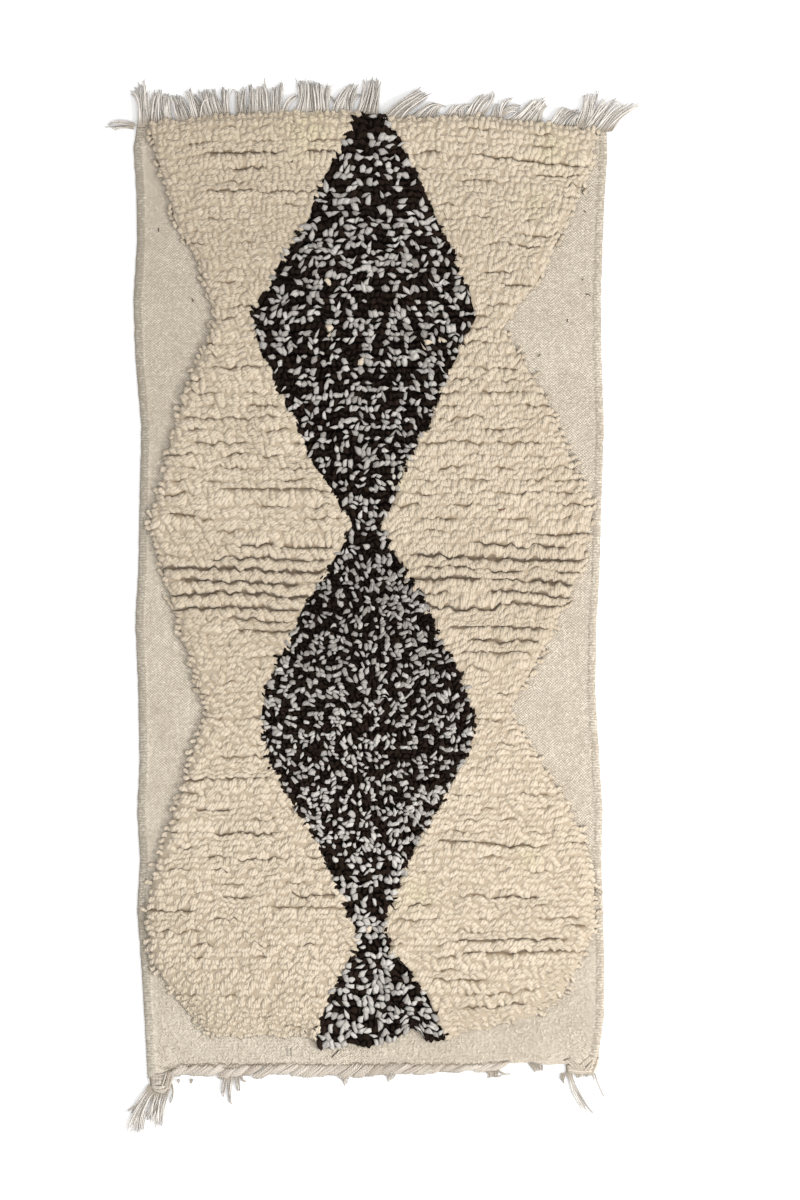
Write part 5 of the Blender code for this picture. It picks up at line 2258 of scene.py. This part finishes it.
@dataclass(frozen=True)
class FootPlait:
    """The plaited edge along the foot: slanting loops of yarns, with a few that came loose."""

    start: float = -0.3230
    end: float = 0.2180
    loops: int = 27
    yarns: int = 9
    depth: float = 0.0226
    slant: float = 0.0220
    radius: float = 0.0016
    waviness: float = 0.0016
    rings: int = 9
    stitched_to: float = -0.145
    stitch_pitch: float = 0.0042
    stitch: float = 0.0044
    stitch_radius: float = 0.0006
    loose_radius: float = 0.0011
    curl: float = 0.0016
    seed: int = 37
    loose: tuple[Bunch, ...] = (
        Bunch((-0.237, -0.763, -0.24, -0.779, -0.244, -0.795),
              (-0.231, -0.764, -0.234, -0.781, -0.239, -0.8), 8, 0.002, 0.2),
        Bunch((-0.231, -0.763, -0.232, -0.787, -0.232, -0.808),
              (-0.223, -0.764, -0.227, -0.789, -0.227, -0.81), 10, 0.003, 0.2),
        Bunch((-0.223, -0.764, -0.219, -0.779, -0.217, -0.795),
              (-0.216, -0.764, -0.213, -0.781, -0.213, -0.792), 5, 0.002, 0.2),
        Bunch((-0.216, -0.764, -0.209, -0.774, -0.204, -0.779),
              (-0.211, -0.764, -0.208, -0.774, -0.201, -0.776), 5, 0.002, 0.3),
        Bunch((-0.294, -0.773, -0.293, -0.776, -0.294, -0.781),
              (-0.289, -0.773, -0.291, -0.777, -0.293, -0.782), 3, 0.001, 0.2),
        Bunch((-0.315, -0.773, -0.314, -0.776, -0.314, -0.779),
              (-0.312, -0.773, -0.312, -0.776, -0.312, -0.781), 2, 0.001, 0.2),
        Bunch((0.188, -0.76, 0.195, -0.768, 0.192, -0.771),
              (0.208, -0.76, 0.208, -0.769, 0.213, -0.768), 12, 0.003, 0.4),
        Bunch((0.205, -0.755, 0.216, -0.763, 0.227, -0.764),
              (0.209, -0.758, 0.218, -0.766, 0.229, -0.766), 4, 0.002, 0.2),
        Bunch((0.258, -0.747, 0.265, -0.756, 0.27, -0.762),
              (0.281, -0.75, 0.28, -0.758, 0.281, -0.758), 12, 0.003, 0.2),
        Bunch((-0.139, -0.719, -0.136, -0.735, -0.135, -0.748),
              (-0.136, -0.719, -0.133, -0.735, -0.131, -0.75), 3, 0.002, 0.2),
        Bunch((-0.131, -0.722, -0.13, -0.735, -0.13, -0.745),
              (-0.13, -0.722, -0.128, -0.735, -0.128, -0.745), 2, 0.002, 0.2),
        Bunch((-0.051, -0.763, -0.048, -0.774, -0.045, -0.786),
              (-0.033, -0.763, -0.037, -0.774, -0.037, -0.781), 7, 0.001, 0.3),
        Bunch((0.022, -0.761, 0.027, -0.769, 0.029, -0.777),
              (0.042, -0.761, 0.038, -0.769, 0.033, -0.776), 7, 0.001, 0.3),
    )

    def thinning(self, x: float) -> float:
        """How deep the plait still is at a place along the foot."""
        return float(np.interp(x, (-0.30, -0.10, 0.08, 0.20), (0.92, 1.0, 0.88, 0.62)))

    def paths(self) -> tuple[np.ndarray, np.ndarray]:
        """Draws the plait's yarns, from its left end to its right one.

        Returns:
            Their middles and radii.
        """
        rng = np.random.default_rng(self.seed)
        t = np.linspace(0, 1, self.rings)
        pitch = (self.end - self.start) / self.loops
        paths, girths = [], []
        for loop in range(self.loops):
            stray = rng.normal(0, 1, 5)
            middle = self.start + (loop + 0.5 + 0.05 * stray[0]) * pitch
            deep = self.depth * (1 + 0.11 * stray[1])
            slant = self.slant * (1 + 0.10 * stray[2])
            for number in range(self.yarns):
                share = (number + 0.5) / self.yarns - 0.5
                own = rng.normal(0, 1, 3)
                spread = pitch * (0.85 + 0.40 * np.sin(np.pi * t))
                x = middle + share * spread + slant * (0.5 - t) + self.curl * np.sin(2 * np.pi * t)
                x = x + 0.0005 * own[0]
                top = LOOM.foot + 0.0036 - self.waviness * min(abs(stray[4]), 1.2)
                y = top + (0.0008 * own[1] - 0.0012 * own[1] * t**3)
                low = deep * self.thinning(middle) - self.radius
                y = y - (low - 0.6 * float(column(RISES, middle, "up"))) * t
                dome = np.sin(np.pi * (0.10 + 0.84 * t)) * (1 - 0.7 * (2 * share) ** 2)
                z = 0.0020 + (0.0062 + 0.0008 * stray[3]) * dome
                paths.append(np.stack((x, y, np.maximum(z, self.radius)), axis=1))
                taper = np.interp(t, (0, 0.25, 0.8, 1), (0.8, 1.05, 1.0, 0.55))
                girths.append(self.radius * (1 + 0.14 * own[2]) * taper)
        return np.array(paths), np.array(girths)

    def stitches(self) -> tuple[np.ndarray, np.ndarray]:
        """Draws the brown stitches along the upper edge of the plait's left half.

        Returns:
            Their middles and radii.
        """
        rng = np.random.default_rng(self.seed + 3)
        x = np.arange(self.start - 0.010, self.stitched_to, self.stitch_pitch)[:, None]
        t = np.linspace(-0.5, 0.5, 4)
        lean = rng.normal(0.7, 0.4, x.shape)
        across = x + self.stitch * t * np.cos(lean)
        edge = LOOM.foot + column(RISES, x, "up") + 0.0007 * rng.normal(0, 1, x.shape)
        upward = edge + self.stitch * t * np.sin(lean)
        high = np.interp(edge - LOOM.foot, (-0.0060, 0.0020), (0.0094, 0.0066)) - 0.004 * t**2
        return np.stack((across, upward, high), axis=2), np.full(across.shape, self.stitch_radius)

    def build(self) -> list[bpy.types.Object]:
        """Makes the plait and the yarns that hang out of it.

        Returns:
            The plait, its loose ends and its stitches.
        """
        paths, girths = self.paths()
        rng = np.random.default_rng(self.seed + 1)
        tones = np.repeat(np.clip(rng.normal(0.6, 0.2, self.loops), 0, 1), self.yarns)
        tones = np.clip(tones + rng.normal(0, 0.18, len(paths)), 0, 1)
        plait = Tubes(6).piece("plait_loops", paths, girths, tones)
        PLAIT_YARN.dress(plait)
        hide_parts("edge_plait_foot")
        loose = LooseYarns(self.loose, self.loose_radius, self.seed + 2)
        loose = loose.build("plait_loose_ends", WARP_YARN)
        paths, girths = self.stitches()
        stitches = Tubes(4).piece("plait_stitches", paths, girths, rng.random(len(paths)))
        STITCH_YARN.dress(stitches)
        return [plait, loose, stitches]


@dataclass(frozen=True)
class CornerTassel:
    """A corner tassel: yarns wrapped round the corner's ends, and the ends that leave them."""

    name: str
    node: str
    wraps: tuple[Bunch, ...]
    ends: tuple[Bunch, ...]
    seed: int
    wrap_finish: Finish = PLAIT_YARN
    wrap_radius: float = 0.0018
    wrap_sway: float = 0.0003
    wrap_height: float = 0.0024
    wrap_end: float = 0.9
    end_radius: float = 0.0012

    def build(self) -> list[bpy.types.Object]:
        """Makes the tassel.

        Returns:
            Its wrapping and its loose ends.
        """
        yarns = LooseYarns(
            self.wraps,
            self.wrap_radius,
            self.seed,
            sway=self.wrap_sway,
            root_height=self.wrap_height,
            least=self.wrap_end,
        )
        wrapping = yarns.build(f"{self.name}_wrapping", self.wrap_finish, 6)
        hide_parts(self.node)
        ends = LooseYarns(self.ends, self.end_radius, self.seed + 2)
        return [wrapping, ends.build(f"{self.name}_ends", WARP_YARN)]


LEFT_TASSEL = CornerTassel(
    name="tassel_left",
    node="tassel_foot_left",
    wraps=(
        Bunch((-0.36, -0.768, -0.342, -0.766, -0.333, -0.765),
              (-0.359, -0.789, -0.342, -0.79, -0.334, -0.787), 10, 0.005, 0.04),
        Bunch((-0.359, -0.774, -0.347, -0.774, -0.335, -0.77),
              (-0.358, -0.787, -0.347, -0.788, -0.336, -0.786), 6, 0.007, 0.05),
        Bunch((-0.333, -0.76, -0.337, -0.776, -0.344, -0.79),
              (-0.318, -0.758, -0.324, -0.776, -0.33, -0.792), 8, 0.0062, 0.15),
        Bunch((-0.354, -0.787, -0.348, -0.792, -0.33, -0.789),
              (-0.346, -0.79, -0.338, -0.795, -0.328, -0.782), 4, 0.006, 0.1),
    ),
    ends=(
        Bunch((-0.361, -0.782, -0.378, -0.807, -0.399, -0.825),
              (-0.356, -0.787, -0.374, -0.812, -0.39, -0.838), 8, 0.003, 0.3),
        Bunch((-0.361, -0.787, -0.381, -0.818, -0.4, -0.852),
              (-0.36, -0.787, -0.38, -0.818, -0.399, -0.853), 1, 0.002, 0.1),
        Bunch((-0.359, -0.787, -0.376, -0.814, -0.393, -0.853),
              (-0.346, -0.794, -0.365, -0.817, -0.372, -0.859), 24, 0.005, 0.25),
        Bunch((-0.351, -0.792, -0.359, -0.818, -0.366, -0.836),
              (-0.328, -0.789, -0.337, -0.818, -0.343, -0.851), 22, 0.005, 0.2),
        Bunch((-0.356, -0.795, -0.359, -0.82, -0.368, -0.833),
              (-0.35, -0.794, -0.354, -0.823, -0.361, -0.841), 5, 0.003, 0.3),
        Bunch((-0.325, -0.782, -0.324, -0.797, -0.328, -0.813),
              (-0.324, -0.781, -0.322, -0.797, -0.327, -0.812), 2, 0.002, 0.2),
    ),
    seed=53,
)
RIGHT_TASSEL = CornerTassel(
    name="tassel_right",
    node="tassel_foot_right",
    wraps=(
        Bunch((0.315, -0.742, 0.33, -0.753, 0.338, -0.766),
              (0.325, -0.738, 0.338, -0.748, 0.354, -0.76), 8, 0.003, 0.25),
        Bunch((0.361, -0.735, 0.346, -0.747, 0.332, -0.758),
              (0.369, -0.743, 0.354, -0.755, 0.342, -0.768), 9, 0.0035, 0.25),
        Bunch((0.319, -0.751, 0.338, -0.753, 0.361, -0.751),
              (0.32, -0.761, 0.34, -0.763, 0.363, -0.763), 7, 0.003, 0.2),
        Bunch((0.358, -0.737, 0.359, -0.751, 0.354, -0.764),
              (0.371, -0.738, 0.369, -0.751, 0.364, -0.763), 6, 0.003, 0.2),
    ),
    ends=(
        Bunch((0.312, -0.763, 0.31, -0.769, 0.312, -0.776),
              (0.319, -0.764, 0.315, -0.773, 0.317, -0.781), 5, 0.002, 0.4),
        Bunch((0.319, -0.761, 0.33, -0.789, 0.346, -0.822),
              (0.328, -0.761, 0.338, -0.79, 0.361, -0.823), 7, 0.003, 0.25),
        Bunch((0.322, -0.761, 0.33, -0.792, 0.343, -0.823),
              (0.325, -0.763, 0.333, -0.792, 0.35, -0.825), 3, 0.003, 0.2),
        Bunch((0.335, -0.758, 0.337, -0.766, 0.338, -0.771),
              (0.361, -0.758, 0.361, -0.764, 0.361, -0.769), 16, 0.002, 0.3),
        Bunch((0.361, -0.764, 0.363, -0.771, 0.364, -0.776),
              (0.363, -0.766, 0.364, -0.771, 0.366, -0.776), 1, 0.001, 0.1),
        Bunch((0.366, -0.764, 0.374, -0.787, 0.384, -0.807),
              (0.367, -0.764, 0.376, -0.787, 0.385, -0.807), 1, 0.001, 0.1),
    ),
    seed=59,
    wrap_finish=CORNER_YARN,
)


@dataclass(frozen=True)
class Fuzz:
    """Short loose fibres on the bare cloth, thick along the foot and thin beside the pile's rims."""

    count: int = 4200
    radius: float = 0.00045
    shortest: float = 0.003
    longest: float = 0.009
    spread: float = 0.009
    height: float = 0.0043
    seed: int = 83

    def places(self, rng: np.random.Generator) -> tuple[np.ndarray, np.ndarray, np.ndarray]:
        """Scatters the fibres.

        Args:
            rng: The source of their places.

        Returns:
            Their places across and up the rug, and which way they lie.
        """
        x = rng.uniform(-0.346, 0.356, 12 * self.count)
        y = rng.uniform(-0.757, 0.700, len(x))
        left, right = PILE.sides(y)
        outside = np.maximum(left - x, x - right)
        at_foot = y < PILE.foot + column(REACHES, x, "foot") + 0.006
        at_foot |= (outside > -0.004) & (y < -0.600)
        beside = 0.16 * np.exp(-np.maximum(outside, 0) / self.spread) * (outside > -0.003)
        kept = rng.random(len(x)) < np.where(at_foot, 1.0, beside)
        x, y, at_foot = x[kept][: self.count], y[kept][: self.count], at_foot[kept][: self.count]
        turn = np.where(at_foot, -np.pi / 2, np.where(x < 0, np.pi, 0.0))
        return x, y, turn + rng.normal(0, 0.9, len(x))

    def build(self) -> bpy.types.Object:
        """Makes the fibres.

        Returns:
            The piece.
        """
        rng = np.random.default_rng(self.seed)
        x, y, turn = self.places(rng)
        t = np.linspace(-0.5, 0.5, 4)
        long = rng.uniform(self.shortest, self.longest, len(x))[:, None] * t
        bend = 0.002 * rng.normal(0, 1, len(x))[:, None] * (0.25 - t**2)
        across = long * np.cos(turn)[:, None] - bend * np.sin(turn)[:, None]
        upward = long * np.sin(turn)[:, None] + bend * np.cos(turn)[:, None]
        high = self.height - 0.004 * t**2 + 0.0006 * rng.random(len(x))[:, None]
        paths = np.stack((x[:, None] + across, y[:, None] + upward, high), axis=2)
        girths = self.radius * rng.uniform(0.7, 1.6, len(x))[:, None] * (1 - 1.6 * t**2)
        piece = Tubes(4).piece("cloth_fuzz", paths, girths, rng.random(len(x)))
        FUZZ_WOOL.dress(piece)
        return piece


@dataclass(frozen=True)
class StrayBits:
    """Dark hairs and a red-brown thread that lie on the rug."""

    hairs: tuple[Patch, ...] = (
        Patch(-0.0575, -0.732, 0.0085),
        Patch(-0.1247, 0.7889, 0.002),
        Patch(-0.128, 0.7237, 0.0022),
        Patch(-0.3464, 0.6178, 0.003),
        Patch(-0.291, 0.4988, 0.0032),
        Patch(0.3496, 0.652, 0.0022),
        Patch(0.3464, 0.5363, 0.0018),
        Patch(0.3545, 0.5102, 0.004),
        Patch(0.3219, 0.4662, 0.0024),
        Patch(0.2747, 0.4075, 0.0026),
        Patch(-0.2274, -0.6993, 0.0022),
        Patch(-0.1068, -0.6944, 0.0024),
    )
    red: Patch = Patch(0.214, 0.1565, 0.0062)
    red_lift: float = 0.0005
    hair_radius: float = 0.0007
    thread_radius: float = 0.0008
    cloth_height: float = 0.0046
    seed: int = 71

    def thread(
        self, places: Sequence[Patch], top: float, radius: float, level: bool
    ) -> tuple[np.ndarray, np.ndarray]:
        """Draws short curved hairs.

        Args:
            places: Their middles, with half their length as the radius.
            top: How high the pile stands under those that lie on it.
            radius: Their own radius.
            level: Whether they lie across the rug.

        Returns:
            Their middles and radii.
        """
        rng = np.random.default_rng(self.seed)
        t = np.linspace(-1, 1, 5)
        paths = []
        for place in places:
            turn = 0.2 if level else rng.uniform(0, np.pi)
            bend = place.radius * rng.uniform(-0.5, 0.5) * (1 - t**2)
            x = place.x + place.radius * t * math.cos(turn) - bend * math.sin(turn)
            y = place.y + place.radius * t * math.sin(turn) + bend * math.cos(turn)
            left, right = PILE.sides(np.array(place.y))
            on_pile = left < place.x < right and place.y > PILE.foot
            height = top + 0.0006 if on_pile else self.cloth_height
            paths.append(np.stack((x, y, np.full(5, height)), axis=1))
        return np.array(paths), np.full((len(paths), 5), radius)

    def build(self) -> list[bpy.types.Object]:
        """Makes the stray bits.

        Returns:
            The hairs and the thread.
        """
        paths, girths = self.thread(self.hairs, PILE.top, self.hair_radius, False)
        hairs = Tubes(4).piece("dark_hairs", paths, girths, np.full(len(paths), 0.5))
        HAIR.dress(hairs)
        top = PILE.top + self.red_lift
        paths, girths = self.thread((self.red,), top, self.thread_radius, True)
        thread = Tubes(4).piece("red_thread", paths, girths, np.full(1, 0.5))
        RED_THREAD.dress(thread)
        return [hairs, thread]


@dataclass(frozen=True)
class Studio:
    """The pale floor, the soft light from the right, and the camera straight above."""

    camera_height: float = 6.0
    view_length: float = 1.956
    aim_x: float = 0.0481
    aim_y: float = 0.0082
    floor_size: float = 14.0
    floor_height: float = -0.0004
    floor_colour: Colour = (0.92, 0.92, 0.92)
    room_strength: float = 0.68

    def floor(self) -> None:
        """Lays the floor."""
        deselect_all()
        bpy.ops.mesh.primitive_plane_add(size=self.floor_size, location=(0, 0, self.floor_height))
        floor = bpy.context.active_object
        floor.name = "floor"
        made = bpy.data.materials.new("pale_floor")
        made.use_nodes = True
        shader = made.node_tree.nodes["Principled BSDF"]
        shader.inputs["Base Color"].default_value = (*self.floor_colour, 1.0)
        shader.inputs["Roughness"].default_value = 0.9
        shader.inputs["Specular IOR Level"].default_value = 0.1
        floor.data.materials.append(made)

    def lamp(self, name: str, place: Place, size: float, power: float, tint: Colour) -> None:
        """Hangs a square soft lamp that points at the rug.

        Args:
            name: Its name.
            place: Where it hangs.
            size: Its side.
            power: Its power in watts.
            tint: Its colour.
        """
        light = bpy.data.lights.new(name, "AREA")
        light.energy = power
        light.size = size
        light.color = tint
        holder = bpy.data.objects.new(name, light)
        holder.location = place
        holder.rotation_euler = Vector(place).to_track_quat("Z", "Y").to_euler()
        bpy.context.collection.objects.link(holder)

    def camera(self) -> None:
        """Hangs the camera over the middle of the photographed area."""
        shift = LOOM.shift()
        data = bpy.data.cameras.new("overhead")
        data.sensor_width = 36.0
        data.lens = data.sensor_width * self.camera_height / self.view_length
        data.dof.use_dof = False
        data.clip_end = 50.0
        camera = bpy.data.objects.new("overhead", data)
        camera.location = (self.aim_x + shift[0], self.aim_y + shift[1], self.camera_height + 0.008)
        bpy.context.collection.objects.link(camera)
        bpy.context.scene.camera = camera

    def build(self) -> None:
        """Sets up the studio."""
        self.floor()
        self.lamp("window", (2.5, -1.2, 2.1), 1.4, 108.0, (1.0, 0.99, 0.97))
        self.lamp("ceiling", (0.0, 0.0, 3.4), 3.0, 55.0, (1.0, 1.0, 1.0))
        world = bpy.data.worlds.new("soft_room")
        world.use_nodes = True
        backdrop = world.node_tree.nodes["Background"]
        backdrop.inputs["Color"].default_value = (1.0, 1.0, 1.0, 1.0)
        backdrop.inputs["Strength"].default_value = self.room_strength
        scene = bpy.context.scene
        scene.world = world
        scene.view_settings.view_transform = "Standard"
        scene.view_settings.look = "None"
        scene.view_settings.exposure = 0.0
        scene.view_settings.gamma = 1.0
        self.camera()


def count_triangles(piece: bpy.types.Object) -> int:
    """The number of a piece's triangles."""
    piece.data.calc_loop_triangles()
    return len(piece.data.loop_triangles)


def report(pieces: list[bpy.types.Object]) -> int:
    """Logs each piece with its triangles.

    Args:
        pieces: The pieces.

    Returns:
        Their triangles in all.
    """
    total = 0
    for piece in pieces:
        triangles = count_triangles(piece)
        total += triangles
        log.info("%-28s %8d triangles", piece.name, triangles)
    return total


def build_pile() -> list[bpy.types.Object]:
    """Makes all the locks of the pile and the beds between them.

    Returns:
        The pieces.
    """
    cream = KnotPlan(CREAM_NAPS, 11, jitter=0.0019).tie()
    speckle = KnotPlan(LOZENGE_NAPS, 12).tie()
    outside = cream.pick(cream.yarn == Yarn.NONE.value)
    middle = 0.040
    quarters = (
        ("left_foot", "pile_cream_left", (outside.x < 0) & (outside.y < middle)),
        ("left_head", "pile_cream_left", (outside.x < 0) & (outside.y >= middle)),
        ("right_foot", "pile_cream_right", (outside.x >= 0) & (outside.y < middle)),
        ("right_head", "pile_cream_right", (outside.x >= 0) & (outside.y >= middle)),
    )
    pieces = []
    for number, (label, node, part) in enumerate(quarters):
        name = f"locks_cream_{label}"
        piece = LockPiece(name, COMBED_LOCKS, CREAM_WOOL, node, 100 + number)
        pieces.append(piece.build(outside.pick(part)))
    speckles = (
        ("locks_black", BLACK_WOOL, Yarn.BLACK, 0.0),
        ("locks_white", WHITE_WOOL, Yarn.WHITE, 0.0020),
        ("locks_cream_in_lozenges", CREAM_WOOL, Yarn.CREAM, 0.0020),
    )
    for number, (name, finish, yarn, lift) in enumerate(speckles):
        seed = 110 + number
        piece = LockPiece(name, CURLY_LOCKS, finish, "pile_lozenges", seed, spread=0.22, lift=lift)
        pieces.append(piece.build(speckle.pick(speckle.yarn == yarn.value)))
    beds = (
        PileBed("bed_cream_left", "pile_cream_left", CREAM_FELT, 48, Part.LEFT),
        PileBed("bed_cream_right", "pile_cream_right", CREAM_FELT, 48, Part.RIGHT),
        PileBed("bed_lozenges", "pile_lozenges", BLACK_WOOL, 22, Part.MIDDLE, below_crown=0.0054),
    )
    pieces += [bed.build() for bed in beds]
    return pieces


def main() -> None:
    """Builds the rug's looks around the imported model."""
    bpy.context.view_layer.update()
    Studio().build()
    wool_tone_group()
    yarn_relief_group()
    cloth = GroundCloth().build()
    pieces = build_pile()
    pieces.append(HeadFringe().build())
    pieces += FootPlait().build()
    pieces += LEFT_TASSEL.build()
    pieces += RIGHT_TASSEL.build()
    pieces.append(Fuzz().build())
    pieces += StrayBits().build()
    total = report([cloth, *pieces])
    log.info("%d pieces, %d triangles in all", len(pieces) + 1, total)


if __name__ == "__main__":
    main()
